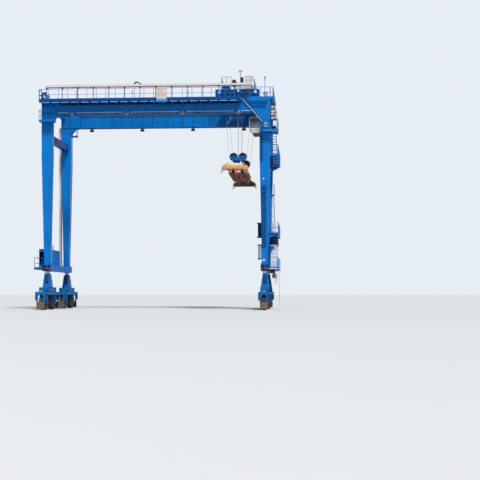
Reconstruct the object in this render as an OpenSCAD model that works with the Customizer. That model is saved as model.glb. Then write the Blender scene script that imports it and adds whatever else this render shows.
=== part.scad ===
// Rubber tyred gantry crane that straddles container stacks.
// X runs along the span, Y along the driving direction and Z up. The origin lies on the ground,
// in the middle of the four corners. Front is the -Y side, and right is the +X side.

/* [Portal] */
// Distance between the left and right leg centre lines
span = 23470; // [22500:10:25000]
// Distance between the front and rear frame centre lines
frame_gap = 6400; // [6200:10:6800]
// Height of the girders' undersides above the ground
girder_z = 20900; // [20700:10:22000]
// Depth of a girder
girder_h = 1600; // [1500:10:1800]
// Width of a girder's box
girder_w = 660; // [560:10:700]
// How far a flange stands out of the girder's sides
flange_lip = 45; // [20:5:60]
// Thickness of a girder flange
flange_t = 50; // [30:5:80]

/* [Legs] */
// Width of a leg under the girder, along the span
leg_top_w = 1130; // [1050:10:1200]
// Width of a leg at its foot
leg_foot_w = 580; // [500:10:700]
// Depth of a leg, along the driving direction
leg_d = 640; // [560:10:680]
// Distance below the girders at which the legs start to taper
taper_drop = 4500; // [4300:50:5500]
// Radius of the rounded knee between a left leg and its girder
knee_r = 850; // [500:10:1100]
// Width of a right leg's head at the girder's top
head_top_w = 3100; // [2800:10:3300]
// Width of a right leg's head at its lower end
head_toe_w = 850; // [700:10:950]
// Distance from the girder's underside down to the head's lower end
head_drop = 970; // [800:10:1200]
// Depth of a right leg's head
head_d = 740; // [700:10:780]
// Thickness of the flange plate at a leg's foot
foot_plate_t = 60; // [40:5:100]

/* [Sill and tie beams] */
// Height of the sill beams' undersides
sill_z = 4150; // [4100:10:4250]
// Depth of a sill beam
sill_h = 620; // [550:10:700]
// Width of a sill beam
sill_w = 900; // [800:10:1000]
// How far a sill beam runs past its legs
sill_over = 130; // [60:10:200]
// Height of the upper tie beams' undersides
tie_z = 18200; // [17800:10:18350]
// Depth of an upper tie beam
tie_h = 750; // [500:10:800]
// Width of an upper tie beam
tie_w = 560; // [400:10:700]

/* [Bogies] */
// Radius of a slewing ring
ring_r = 240; // [200:5:280]
// Height of a slewing ring
ring_h = 250; // [220:10:280]
// Clearance under a slewing ring
ring_gap = 0.3; // [0.2:0.1:0.5]
// Distance between a bogie's two axles
bogie_base = 2400; // [2300:10:2500]
// Width over a bogie's cover plate
bogie_w = 1200; // [1160:10:1240]
// Radius of a tyre
tyre_r = 875; // [850:5:890]
// Width of a tyre
tyre_w = 560; // [480:10:580]
// Radius of a wheel's rim
rim_r = 480; // [400:5:520]
// Radius of a wheel axle
axle_r = 90; // [70:5:110]
// Radial clearance of a wheel on its axle
axle_gap = 0.05; // [0.02:0.01:0.1]
// Gap between a tyre and the cheeks beside it
cheek_gap = 20; // [10:1:30]
// Thickness of a cheek plate
cheek_t = 60; // [40:5:80]

/* [Walkways] */
// Clear width of the girder walkways
walk_w = 800; // [700:10:900]
// Distance from the girder's top down to the walkway deck
walk_drop = 150; // [120:10:250]
// Depth of the deck's edge channel
deck_t = 200; // [120:10:250]
// Height of the handrails
rail_h = 1150; // [1000:10:1250]
// Thickness of the handrail tubes
rail_t = 48; // [40:1:60]
// Number of handrail bays along a walkway
walk_bays = 21; // [10:1:24]
// Height of the cable tray above the handrail
tray_lift = 120; // [80:5:200]
// Width of the cable tray
tray_w = 420; // [300:10:500]
// Height of the cable tray
tray_h = 210; // [150:5:250]
// Spacing of the tray's posts
tray_pitch = 1670; // [1500:10:2400]
// Distance from the crane's centre to the middle of the chain's loop
loop_x = -1410; // [-3000:10:2000]
// Distance from the crane's centre to the walkway cabinet
cabinet_x = 910; // [500:10:1500]
// Width of the walkway cabinet
cabinet_w = 1020; // [800:10:1200]
// Spacing of the floodlights along a girder
lamp_pitch = 5950; // [5600:10:6200]

/* [Right leg access] */
// Height of the lowest stair landing
landing_1_z = 8200; // [8150:10:8400]
// Height of the second landing
landing_2_z = 12300; // [12000:10:12500]
// Height of the third landing
landing_3_z = 16400; // [16300:10:16500]
// Height of the top landing
landing_4_z = 18950; // [18900:10:19100]
// Distance from the leg's centre line out to the edge of the access platforms
access_reach = 1400; // [1380:10:1500]
// Clear width of a stair flight
stair_w = 440; // [400:10:480]
// Number of treads in the lower flight
lower_treads = 15; // [12:1:18]
// Number of treads in the upper flight
upper_treads = 9; // [7:1:11]
// Distance from a left girder's underside down to the left leg platforms
left_deck_drop = 750; // [700:10:900]

/* [Houses] */
// Length of the electrical house
house_l = 5300; // [4000:10:5500]
// Width of the electrical house
house_w = 620; // [500:10:700]
// Height of the electrical house
house_h = 2500; // [2200:10:2600]
// Length of the power pack
pack_l = 4400; // [3500:10:5400]
// Height of the power pack
pack_h = 2150; // [1800:10:2400]

/* [Trolley] */
// Distance from the crane's centre to the trolley's centre at rest
trolley_x = 8790; // [8200:10:8800]
// Height of a trolley rail
rail_track_h = 120; // [80:5:150]
// Width of a trolley rail's head
rail_track_w = 80; // [60:5:100]
// Distance between the trolley's axles
trolley_base = 3700; // [3600:10:3800]
// Length of the trolley frame
trolley_l = 4700; // [4600:10:4800]
// Radius of a trolley wheel
trolley_wheel_r = 300; // [280:5:320]
// Depth of the trolley's cross beams
trolley_beam_h = 420; // [350:10:450]
// Radius of a rope drum
drum_r = 370; // [330:5:390]
// Distance from the trolley's centre to a drum's axis
drum_x = 1250; // [1200:10:1290]
// Length of a rope drum
drum_l = 5300; // [5000:10:5350]
// Diameter of a hoist rope
rope_d = 28; // [20:1:32]
// Width of the operator's cabin, along the span
cabin_w = 1340; // [1250:10:1400]
// Depth of the operator's cabin
cabin_d = 1900; // [1700:10:2100]
// Height of the operator's cabin
cabin_h = 1700; // [1650:10:2000]
// Height of the cabin's underside above the ground
cabin_z = 19290; // [19250:10:19400]
// Thickness of the cabin's walls
cabin_t = 60; // [40:5:80]
// Thickness of the cabin's panes
pane_t = 20; // [10:1:30]

/* [Headblock and spreader] */
// Height of the headblock sheaves' axles at rest
sheave_z = 16450; // [16350:10:16600]
// Radius of a headblock sheave
sheave_r = 450; // [420:5:455]
// Distance between the two sheaves of a pair
sheave_pitch = 980; // [970:1:1000]
// Distance from the middle to each pair of sheaves
sheave_y = 2300; // [2200:10:2400]
// Height of the spreader's underside at rest
spreader_z = 14450; // [14400:10:14500]
// Distance between the twistlocks along a long container
lock_l = 11985; // [11900:5:12100]
// Distance between the twistlocks across a container
lock_w = 2259; // [2240:1:2300]
// Width of a telescopic arm of the spreader
arm_w = 240; // [180:5:260]
// Height of a telescopic arm
arm_h = 380; // [340:5:390]
// Clearance around a telescopic arm
arm_gap = 6; // [5:1:10]
// Length of the spreader's fixed frame
spreader_l = 5500; // [5200:10:5520]
// How far a telescopic arm stays inside the fixed frame at full length
arm_hold = 1200; // [900:10:1300]
// Length of a corner guide below its hinge
guide_l = 630; // [500:10:680]
// Radius of a corner guide's hinge pin
guide_pin_r = 25; // [20:1:30]

/* [Hidden] */
$fn = 48;

// Fixed details of the portal
knee_lip = 40;
knee_bite = 60;
edge_t = 55;
edge_lip = 30;
rib_t = 70;
rib_lip = 25;
head_rib_pitch = 330;
head_rib_inset = 90;
balcony_w = 320;
balcony_t = 120;
end_tie_w = 500;
end_tie_h = 450;
gusset_t = 40;
head_bays = 3;
end_bays = 6;
rail_inset = 60;
stop_inset = 700;
stop_l = 450;
stop_w = 240;
stop_rise = 260;
buffer_l = 100;
buffer_r = 90;
buffer_rise = 60;
// Fixed details of the walkways and their fittings
plate_t = 40;
joist_t = 60;
post_t = 70;
kick_t = 12;
kick_h = 160;
tray_t = 20;
tray_out = 100;
tray_left = 800;
tray_past = 1240;
chain_t = 90;
chain_w = 260;
chain_start = 40;
loop_l = 1460;
loop_h = 430;
loop_lean = 2.2;
cabinet_d = 560;
cabinet_base_h = 550;
cabinet_lift = 100;
cabinet_rise = 850;
lamp_r = 190;
lamp_l = 160;
flood_w = 480;
flood_d = 380;
flood_h = 320;
head_lamp = 230;
head_lamp_x = 700;
head_lamp_rise = 550;
wind_y = 280;
wind_h = 2250;
// Fixed details of the access
deck_plate = 80;
front_reach = 540;
left_reach = 650;
landing_1_l = 3300;
landing_2_in = 235;
landing_4_in = 200;
gate_y = -1600;
left_deck_in = 460;
left_deck_out = 90;
lane_gap = 60;
tread_d = 220;
tread_t = 40;
stringer_t = 40;
stringer_h = 220;
stair_rail = 900;
stair_posts = 4;
lower_run = 3600;
upper_run = 2400;
landing_2_l = 1100;
stair_top_y = 2200;
ladder_w = 440;
ladder_t = 60;
rung_pitch = 300;
rung_t = 30;
ladder_foot = 450;
ladder_rise = 1000;
ladder_in = 100;
sill_deck_drop = 320;
sill_deck_t = 140;
sill_deck_l = 3500;
sill_guard_y = 600;
house_x = 60;
roof_t = 90;
roof_lip = 30;
resistor_w = 860;
resistor_l = 3200;
resistor_h = 960;
resistor_y = -600;
resistor_shift = 45;
pack_w = 820;
box_inset = 60;
head_box_w = 600;
head_box_z = 20200;
head_box_h = 1500;
low_box_w = 320;
low_box_h = 1350;
inner_box_z = 7700;
inner_box_h = 1500;
panel_z = 5400;
duct_w = 250;
duct_d = 350;
grey_box_w = 450;
grey_box_d = 250;
grey_box_z = 19300;
navy_box_x = 150;
navy_box_l = 500;
small_box_h = 550;
stack_r = 90;
stack_h = 700;
// Fixed details of the bogies
cover_gap = 90;
cover_t = 80;
guard_gap = 70;
guard_t = 60;
guard_drop = 850;
arch_h = 200;
hip_w = 900;
neck_w = 460;
bogie_rise = 480;
bogie_beam_w = 840;
bogie_beam_l = 3000;
flange_r = 60;
pedestal_d = 760;
window_r = 150;
window_z = 2960;
cheek_l = 560;
cheek_drop = 225;
skirt_t = 30;
skirt_h = 250;
bumper_w = 840;
bumper_z = 110;
bumper_h = 740;
bumper_t = 50;
bumper_out = 110;
bracket_w = 100;
hub_r = 210;
disc_t = 90;
tread_edge = 110;
shoulder_r = 40;
wall_r = 190;
bead_in = 30;
rim_t = 60;
// Fixed details of the trolley
wheel_gap = 0.3;
beam_skirt = 140;
beam_cap = 230;
side_beam_w = 360;
cross_w = 320;
bearer_w = 200;
bearer_in = 1500;
bearer_out = 2770;
wheel_w = 140;
trolley_axle_r = 60;
pocket_gap = 15;
drum_lift = 80;
drum_shaft_r = 70;
pedestal_t = 120;
equal_w = 240;
equal_h = 200;
gear_w = 1500;
gear_l = 900;
gear_h = 1200;
motor_r = 260;
motor_l = 1300;
motor_y = 1000;
motor_x = -580;
deck_w = 1700;
deck_l = 3000;
deck_thin = 30;
trolley_rail_h = 1350;
trolley_rail_x = 1640;
trolley_rail_l = 980;
guard_end = 2900;
panel_x = 850;
panel_w = 700;
panel_d = 460;
panel_h = 1400;
mast_x = 320;
mast_h = 1850;
mast_r = 32;
mast_lamp = 200;
mast_box_w = 340;
mast_box_h = 600;
mast_box_rise = 850;
cabin_shift = -100;
cabin_slope_x = 420;
cabin_slope_z = 560;
window_edge = 130;
hanger_w = 260;
hanger_t = 120;
hanger_y = 800;
slant_from = 0.15;
slant_to = 0.85;
// Play at a seam between two plates that lean on each other
seam_gap = 0.3;
// Fixed details of the headblock and spreader
block_drop = 750;
block_h = 250;
block_half = 450;
block_over = 450;
cheek_plate_t = 40;
cheek_plate_half = 900;
sheave_w = 110;
sheave_gap = 12;
sheave_axle_r = 50;
sheave_hub_r = 120;
rope_gap = 0.3;
frame_t = 50;
frame_lift = 150;
arm_out = 800;
pad_gap = 0.3;
pad_l = 120;
post_w = 160;
post_x = 300;
post_y = 1000;
lock_edge = 110;
end_beam_d = 300;
end_beam_h = 400;
riser_over = 40;
riser_half = 950;
lock_r = 30;
lock_head_r = 50;
lock_drop = 60;
lock_head_h = 50;
pin_reach = 75;
pin_lift = 280;
lug_t = 30;
lug_gap = 5;
lug_over = 50;
guide_w = 200;
guide_t = 50;
guide_boss_r = 60;
guide_flare = 110;
flare_h = 160;
pin_gap = 0.05;

half_span = span / 2;
half_gap = frame_gap / 2;
girder_top = girder_z + girder_h;
leg_out = half_span + leg_top_w / 2;
sill_top = sill_z + sill_h;
foot_z = sill_top + foot_plate_t;
foot_half = leg_d / 2 + sill_over - 10;
taper_z = girder_z - taper_drop;
head_z = girder_z - head_drop;
deck_z = girder_top - walk_drop;
walk_in = half_gap + girder_w / 2;
walk_out = walk_in + walk_w;
walk_end = leg_out - head_top_w;
guard_line = walk_out - post_t - rail_t / 2;
tray_z = deck_z + rail_h + tray_lift;
tray_x0 = tray_left - leg_out;
tray_x1 = walk_end + tray_past;
access_x = half_span + access_reach;
sill_x = half_span + sill_w / 2;
sill_deck_z = sill_top - sill_deck_drop;
left_deck_z = girder_z - left_deck_drop;
leg_front = half_gap + leg_d / 2;
leg_back = half_gap - leg_d / 2;
bogie_top = sill_z - ring_h - ring_gap;
cover_z = 2 * tyre_r + cover_gap;
cheek_in = tyre_w / 2 + cheek_gap;
hub_half = cheek_in - cheek_gap / 2;
bogie_end = bogie_base / 2 + tyre_r + guard_gap;
track_z = girder_top + rail_track_h;
wheel_z = track_z + trolley_wheel_r + wheel_gap;
beam_z0 = wheel_z - beam_skirt;
beam_z1 = wheel_z + trolley_wheel_r + beam_cap;
cross_z = beam_z1 - trolley_beam_h;
drum_z = beam_z1 + drum_r + drum_lift;
stop_x = leg_out - stop_inset;
cabin_x0 = trolley_base / 2 - cabin_w / 2 + cabin_shift;
cabin_top = cabin_z + cabin_h;
cabin_slope = norm([cabin_slope_x, cabin_slope_z]);
slant_c = cabin_slope_x * cabin_slope_z / cabin_slope;
mast_box_z = beam_z1 + mast_box_rise;
block_z0 = sheave_z - block_drop;
sheave_x = sheave_pitch / 2;
fall_angle = atan((drum_x - sheave_x) / (drum_z - sheave_z))
    - asin((sheave_r - drum_r) / norm([drum_x - sheave_x, drum_z - sheave_z]));
arm_in = arm_out - arm_w - 2 * arm_gap - frame_t;
frame_z0 = spreader_z + frame_lift;
frame_half = arm_out + arm_w / 2 + arm_gap + frame_t;
frame_z1 = frame_z0 + arm_h + 2 * (arm_gap + frame_t);
arm_z = frame_z0 + frame_t + arm_gap;
lock_y = lock_l / 2;
end_half = lock_w / 2 + lock_edge;
pin_x = end_half + pin_reach;
pin_z = spreader_z + pin_lift;

// X of the sloping edge of a right leg's head at height z
function slope_x(z) = leg_out - head_toe_w
    - (head_top_w - head_toe_w) * (z - head_z) / (girder_top - head_z);
// Half the width of a leg at height z
function leg_half(z) = (leg_foot_w + (leg_top_w - leg_foot_w)
    * min(1, (z - foot_z) / (taper_z - foot_z))) / 2;
// Height of the cable loop above the tray, at turn t of 360 degrees along it
function loop_rise(t) = loop_h * pow(sin(t / 2), 2);
// Part of the loop's length at that turn, less at its steep left side
function loop_part(t) = pow(t / 360, loop_lean);

stair_x0 = half_span + leg_half(landing_1_z);
stair_x1 = stair_x0 + stair_w + 2 * stringer_t;
lower_head = [landing_2_l - leg_back, landing_2_z];
lower_foot = [lower_head[0] + lower_run, landing_1_z];
upper_head = [-stair_top_y, landing_4_z];
upper_foot = [upper_run - stair_top_y, landing_3_z];

// A block between pairs of limits along X, Y and Z
module block(x, y, z) {
    translate([x[0], y[0], z[0]]) cube([x[1] - x[0], y[1] - y[0], z[1] - z[0]]);
}
// An outline in the XZ plane, drawn through a depth d about Y = 0
module plate_xz(d) {
    translate([0, d / 2, 0]) rotate([90, 0, 0]) linear_extrude(d) children();
}
// An outline in the YZ plane, drawn along X from x to x + w
module plate_yz(x, w) {
    translate([x, 0, 0]) rotate([90, 0, 90]) linear_extrude(w) children();
}
// Children built for the right side, placed on the left (-1) or right (1)
module on_side(s) { mirror([s < 0 ? 1 : 0, 0, 0]) children(); }
// Children built for the rear, placed at the front (-1) or rear (1)
module on_end(s) { mirror([0, s < 0 ? 1 : 0, 0]) children(); }
module both_sides() { for (s = [-1, 1]) on_side(s) children(); }
module both_ends() { for (s = [-1, 1]) on_end(s) children(); }
// A straight round bar from point a to point b
module bar(a, b, r) {
    v = b - a;
    translate(a) rotate([0, acos(v[2] / norm(v)), atan2(v[1], v[0])]) cylinder(h = norm(v), r = r);
}
// A guard rail along X: posts, top and middle rails and a kick plate
module guard_x(x, y, z, bays, h = rail_h) {
    for (i = [0 : bays]) {
        x0 = x[0] + i * (x[1] - x[0] - rail_t) / bays;
        block([x0, x0 + rail_t], [y - rail_t / 2, y + rail_t / 2], [z, z + h]);
    }
    for (top = [h, h / 2])
        block(x, [y - rail_t / 2, y + rail_t / 2], [z + top - rail_t, z + top]);
    block(x, [y - kick_t / 2, y + kick_t / 2], [z, z + kick_h]);
}
// A guard rail along Y
module guard_y(x, y, z, bays, h = rail_h) {
    for (i = [0 : bays]) {
        y0 = y[0] + i * (y[1] - y[0] - rail_t) / bays;
        block([x - rail_t / 2, x + rail_t / 2], [y0, y0 + rail_t], [z, z + h]);
    }
    for (top = [h, h / 2])
        block([x - rail_t / 2, x + rail_t / 2], y, [z + top - rail_t, z + top]);
    block([x - kick_t / 2, x + kick_t / 2], y, [z, z + kick_h]);
}

// One band of a girder, cut along the slope of the right leg's head
module girder_band(w, z0, z1) {
    plate_xz(w) polygon([[-leg_out, z0], [slope_x(z0) - seam_gap, z0],
        [slope_x(z1) - seam_gap, z1], [-leg_out, z1]]);
}
module girder(s) {
    color("royalblue") translate([0, s * half_gap, 0]) {
        girder_band(girder_w, girder_z, girder_top);
        girder_band(girder_w + 2 * flange_lip, girder_z, girder_z + flange_t);
        girder_band(girder_w + 2 * flange_lip, girder_top - flange_t, girder_top);
    }
}
// A leg's tapered box and foot plate, about its own centre line
module leg_box() {
    plate_xz(leg_d) polygon([
        [-leg_foot_w / 2, foot_z], [leg_foot_w / 2, foot_z],
        [leg_top_w / 2, taper_z], [leg_top_w / 2, girder_z],
        [-leg_top_w / 2, girder_z], [-leg_top_w / 2, taper_z]
    ]);
    block([-sill_w / 2, sill_w / 2], [-foot_half, foot_half], [sill_top, foot_z]);
}
// The rounded inner corner under a girder
module knee() {
    x0 = -leg_top_w / 2 - knee_r;
    z0 = girder_z - knee_lip - knee_r;
    plate_xz(leg_d) polygon(concat(
        [[x0 + knee_r + knee_bite, z0]],
        [for (a = [0 : 7.5 : 90]) [x0 + knee_r * cos(a), z0 + knee_r * sin(a)]],
        [[x0, girder_z], [x0 + knee_r + knee_bite, girder_z]]
    ));
}
module left_leg(s) {
    color("royalblue") on_side(-1) translate([half_span, s * half_gap, 0]) {
        leg_box();
        knee();
    }
}
module right_leg(s) {
    toe = leg_top_w / 2 - head_toe_w;
    shoulder = leg_top_w / 2 - head_top_w;
    color("royalblue") translate([half_span, s * half_gap, 0]) {
        leg_box();
        plate_xz(head_d) polygon([[leg_top_w / 2, head_z], [leg_top_w / 2, girder_top],
            [shoulder, girder_top], [toe, head_z]]);
        plate_xz(head_d + 2 * edge_lip) polygon([[toe, head_z], [shoulder, girder_top],
            [shoulder + edge_t, girder_top], [toe + edge_t, head_z]]);
        for (i = [1 : 2]) {
            z = girder_top - i * head_rib_pitch;
            left = slope_x(z) - half_span + 2 * edge_t;
            block([left, leg_top_w / 2 - i * head_rib_inset],
                s < 0 ? [-head_d / 2 - rib_lip, 0] : [0, head_d / 2 + rib_lip], [z, z + rib_t]);
        }
    }
}
module sill_beams() {
    y = leg_front + sill_over;
    color("royalblue") both_sides()
        block([half_span - sill_w / 2, sill_x], [-y, y], [sill_z, sill_top]);
}
module tie_beams() {
    color("royalblue") both_sides()
        block([half_span - tie_w / 2, half_span + tie_w / 2], [-leg_back, leg_back],
            [tie_z, tie_z + tie_h]);
}
module slewing_rings() {
    color("white") both_sides() both_ends()
        translate([half_span, half_gap, sill_z - ring_h]) cylinder(h = ring_h, r = ring_r);
}
// Trolley rails on the girders, with an end stop and its buffer at each end
module trolley_rails() {
    x = leg_out - rail_inset;
    color("dimgray") both_ends() {
        block([-x, x], [half_gap - rail_track_w / 2, half_gap + rail_track_w / 2],
            [girder_top, track_z]);
        both_sides() {
            block([stop_x, stop_x + stop_l], [half_gap - stop_w / 2, half_gap + stop_w / 2],
                [girder_top, wheel_z + stop_rise]);
            translate([stop_x - buffer_l, half_gap, wheel_z + buffer_rise]) rotate([0, 90, 0])
                cylinder(h = buffer_l, r = buffer_r);
        }
    }
}

// A walkway deck outside each girder: plate, edge channel and inner joist
module walkways() {
    x = [-leg_out, walk_end];
    color("royalblue") both_ends() {
        block(x, [walk_in, walk_out], [deck_z - plate_t, deck_z]);
        block(x, [walk_out - joist_t, walk_out], [deck_z - deck_t, deck_z]);
        block(x, [walk_in, walk_in + joist_t], [deck_z - deck_t, deck_z]);
    }
}
// Handrails of the walkways, and beside the trolley rails on the right legs' heads
module walkway_handrails() {
    head_y = half_gap + head_d / 2 - rail_t / 2;
    color("royalblue") both_ends() {
        guard_x([-leg_out, walk_end], guard_line, deck_z, walk_bays);
        guard_y(rail_t / 2 - leg_out, [walk_in + flange_lip, guard_line], deck_z, 1);
        guard_x([walk_end + edge_t, leg_out], head_y, girder_top, head_bays);
    }
}
// Box beams that tie the girders' ends together, and a narrow balcony outside them
module end_platforms() {
    y = half_gap + girder_w / 2;
    color("royalblue") for (s = [-1, 1]) on_side(s) {
        gap_y = half_gap - (s < 0 ? girder_w : head_d) / 2;
        block([leg_out, leg_out + balcony_w], [-y, y], [girder_top - balcony_t, girder_top]);
        block([leg_out - end_tie_w, leg_out], [-gap_y, gap_y], [deck_z - end_tie_h, deck_z]);
        block([leg_out - gusset_t, leg_out], [-gap_y, gap_y], [deck_z, girder_top - flange_t]);
        block([leg_out, leg_out + gusset_t], [-gap_y, gap_y],
            [girder_top - end_tie_h, girder_top - balcony_t]);
    }
}
module end_handrails() {
    y = half_gap + girder_w / 2;
    x = leg_out + balcony_w - rail_t / 2;
    color("royalblue") both_sides() {
        guard_y(x, [-y, y], girder_top, end_bays);
        both_ends() guard_x([leg_out, x], y - rail_t / 2, girder_top, 1);
    }
    color("royalblue") translate([half_span, -half_gap - wind_y, girder_top])
        cylinder(h = wind_h, r = rail_t / 2);
}
// A trough on posts above the front handrail
module cable_tray() {
    y0 = walk_out - tray_w + tray_out;
    color("gainsboro") on_end(-1) {
        difference() {
            block([tray_x0, tray_x1], [y0, y0 + tray_w], [tray_z, tray_z + tray_h]);
            block([tray_x0 - 1, tray_x1 + 1], [y0 + tray_t, y0 + tray_w - tray_t],
                [tray_z + tray_t, tray_z + tray_h + 1]);
        }
        for (x = [tray_x0 : tray_pitch : walk_end - post_t])
            block([x, x + post_t], [walk_out - post_t, walk_out], [deck_z, tray_z]);
    }
}
// The trolley's cable chain, laid in the tray with a loop that stands out of it
module cable_chain() {
    y = walk_out - tray_w / 2 + tray_out;
    z0 = tray_z + tray_t;
    x0 = tray_x0 + chain_start;
    x1 = tray_x1 - chain_start;
    left = loop_x - loop_l / 2;
    color("dimgray") translate([0, -y, 0]) plate_xz(chain_w) polygon(concat(
        [[x0, z0]],
        [for (t = [0 : 20 : 360]) [left + loop_l * loop_part(t), z0 + loop_rise(t)]],
        [[x1, z0], [x1, z0 + chain_t]],
        [for (t = [360 : -20 : 0]) [left + loop_l * loop_part(t), z0 + chain_t + loop_rise(t)]],
        [[x0, z0 + chain_t]]
    ));
}
// A cabinet on a bracket box outside the front walkway
module walkway_cabinet() {
    x = [cabinet_x - cabinet_w / 2, cabinet_x + cabinet_w / 2];
    z = deck_z + cabinet_lift;
    color("linen") on_end(-1) {
        block(x, [walk_out, walk_out + cabinet_d], [z - cabinet_base_h, z]);
        block(x, [walk_out + joist_t, walk_out + cabinet_d], [z, z + cabinet_rise]);
    }
}
// At each station: a dish on the girder, a floodlight under the deck and a lamp head on a post
module lamp_station(x) {
    y = half_gap + girder_w / 2 + flange_lip;
    flood_y = walk_in + 2 * joist_t;
    post_x0 = min(x + head_lamp_x, walk_end - head_lamp);
    translate([x, y, girder_z + flange_t / 2]) rotate([-90, 0, 0]) cylinder(h = lamp_l, r = lamp_r);
    block([x - flood_w / 2, x + flood_w / 2], [flood_y, flood_y + flood_d],
        [deck_z - plate_t - flood_h, deck_z - plate_t]);
    block([post_x0, post_x0 + rail_t], [walk_out, walk_out + rail_t],
        [deck_z - deck_t, deck_z + head_lamp_rise]);
    block([post_x0 + rail_t / 2 - head_lamp / 2, post_x0 + rail_t / 2 + head_lamp / 2],
        [walk_out, walk_out + head_lamp], [deck_z + head_lamp_rise, deck_z + head_lamp_rise + head_lamp]);
}
module floodlights() {
    color("silver") both_ends() for (i = [-1.5 : 1 : 1.5]) lamp_station(i * lamp_pitch);
}

// Decks around the legs: two at the left legs' heads and four landings at the right legs
module leg_platforms() {
    color("royalblue") {
        both_ends() block([-leg_out - left_deck_out, left_deck_in + leg_top_w - leg_out],
            [leg_front, leg_front + left_reach], [left_deck_z - deck_plate, left_deck_z]);
        block([half_span + leg_half(landing_1_z), access_x], [-landing_1_l, landing_1_l],
            [landing_1_z - deck_plate, landing_1_z]);
        block([half_span - landing_2_in, stair_x1 + lane_gap], [-leg_back, landing_2_l - leg_back],
            [landing_2_z - deck_plate, landing_2_z]);
        block([leg_out, access_x], [-leg_front, leg_front], [landing_3_z - deck_plate, landing_3_z]);
        block([half_span - landing_4_in, access_x], [-leg_front - front_reach, -leg_front],
            [landing_4_z - deck_plate, landing_4_z]);
        block([leg_out, access_x], [-leg_front - front_reach, -stair_top_y],
            [landing_4_z - deck_plate, landing_4_z]);
    }
}

// Guard rails around the leg platforms
module leg_handrails() {
    half = rail_t / 2;
    y_left = leg_front + left_reach - half;
    y_near = leg_front + front_reach - half;
    x_far = access_x - half;
    x_left = [-leg_out - left_deck_out, left_deck_in + leg_top_w - leg_out];
    x_near = half_span - landing_4_in;
    x_leg = half_span + leg_half(landing_1_z + rail_h) + seam_gap;
    girder_side = half_gap + girder_w / 2 + flange_lip + seam_gap;
    color("royalblue") {
        both_ends() {
            guard_x(x_left, y_left, left_deck_z, 2);
            guard_y(x_left[0] + half, [leg_front, y_left], left_deck_z, 1);
            guard_y(x_left[1] - half, [girder_side, y_left], left_deck_z, 1);
        }
        guard_y(x_far, [-landing_1_l, landing_1_l], landing_1_z, 5);
        guard_x([x_leg, x_far], landing_1_l - half, landing_1_z, 1);
        guard_x([x_leg, access_x - ladder_w - ladder_in], half - landing_1_l, landing_1_z, 1);
        guard_y(stair_x1 + lane_gap - half, [-leg_back, landing_2_l - leg_back], landing_2_z, 1);
        guard_y(half_span - landing_2_in + half, [-leg_back, landing_2_l - leg_back], landing_2_z, 1);
        guard_y(x_far, [-leg_front, leg_front], landing_3_z, 6);
        both_ends() guard_x([leg_out, x_far], leg_front - half, landing_3_z, 1);
        guard_y(leg_out + half, [gate_y, leg_back], landing_3_z, 4);
        guard_y(x_far, [-y_near, -stair_top_y], landing_4_z, 2);
        guard_x([x_near, x_far], -y_near, landing_4_z, 2);
        guard_y(x_near + half, [-y_near, -half_gap - head_d / 2 - edge_lip - lane_gap], landing_4_z, 1);
    }
}
// One flight along Y, from the point a (Y, Z) up to the point b, with its two side plates
module flight_sides(x0, a, b) {
    for (x = [x0, x0 + stair_w + stringer_t]) {
        plate_yz(x, stringer_t) polygon([[a[0], a[1]], [a[0], a[1] + stringer_h], [b[0], b[1]],
            [b[0], b[1] - stringer_h]]);
        plate_yz(x, stringer_t) polygon([[a[0], a[1] + stair_rail], [a[0], a[1] + stair_rail + rail_t],
            [b[0], b[1] + stair_rail], [b[0], b[1] + stair_rail - rail_t]]);
        for (k = [0 : stair_posts]) {
            y = a[0] + (b[0] - a[0] + rail_t) * k / stair_posts;
            z = a[1] + (b[1] - a[1]) * k / stair_posts;
            block([x, x + stringer_t], [y - rail_t, y],
                [z - (k == 0 ? 0 : 2 * rail_t), z + stair_rail + (k == 0 ? 2 * rail_t : 0)]);
        }
    }
}
module flight_treads(x0, a, b, n) {
    for (i = [1 : n]) {
        y = a[0] + (b[0] - a[0]) * i / (n + 1);
        z = a[1] + (b[1] - a[1]) * i / (n + 1);
        block([x0 + stringer_t, x0 + stringer_t + stair_w], [y - tread_d / 2, y + tread_d / 2],
            [z - tread_t, z]);
    }
}
module stair_stringers() {
    color("royalblue") {
        flight_sides(stair_x0, lower_foot, lower_head);
        flight_sides(leg_out + lane_gap, upper_foot, upper_head);
    }
}
module stair_treads() {
    color("lightgray") {
        flight_treads(stair_x0, lower_foot, lower_head, lower_treads);
        flight_treads(leg_out + lane_gap, upper_foot, upper_head, upper_treads);
    }
}
// A ladder in the XZ plane, standing on Y from 0 to ladder_t, between two heights
module ladder(z0, z1) {
    for (x = [0, ladder_w - ladder_t])
        block([x, x + ladder_t], [0, ladder_t], [z0, z1]);
    for (z = [z0 + rung_pitch : rung_pitch : z1 - rung_t])
        block([0, ladder_w], [(ladder_t - rung_t) / 2, (ladder_t + rung_t) / 2], [z, z + rung_t]);
}
module ladders() {
    color("royalblue") {
        translate([access_x - ladder_w - ladder_in, -landing_1_l - ladder_t, 0])
            ladder(sill_deck_z, landing_1_z + ladder_rise);
        translate([half_span - ladder_w / 4, -leg_back, 0])
            ladder(landing_2_z, landing_3_z + ladder_rise);
        both_sides() translate([access_x + ladder_t, -ladder_w / 2, 0]) rotate([0, 0, 90])
            ladder(ladder_foot, sill_deck_z + ladder_rise);
    }
}
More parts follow.
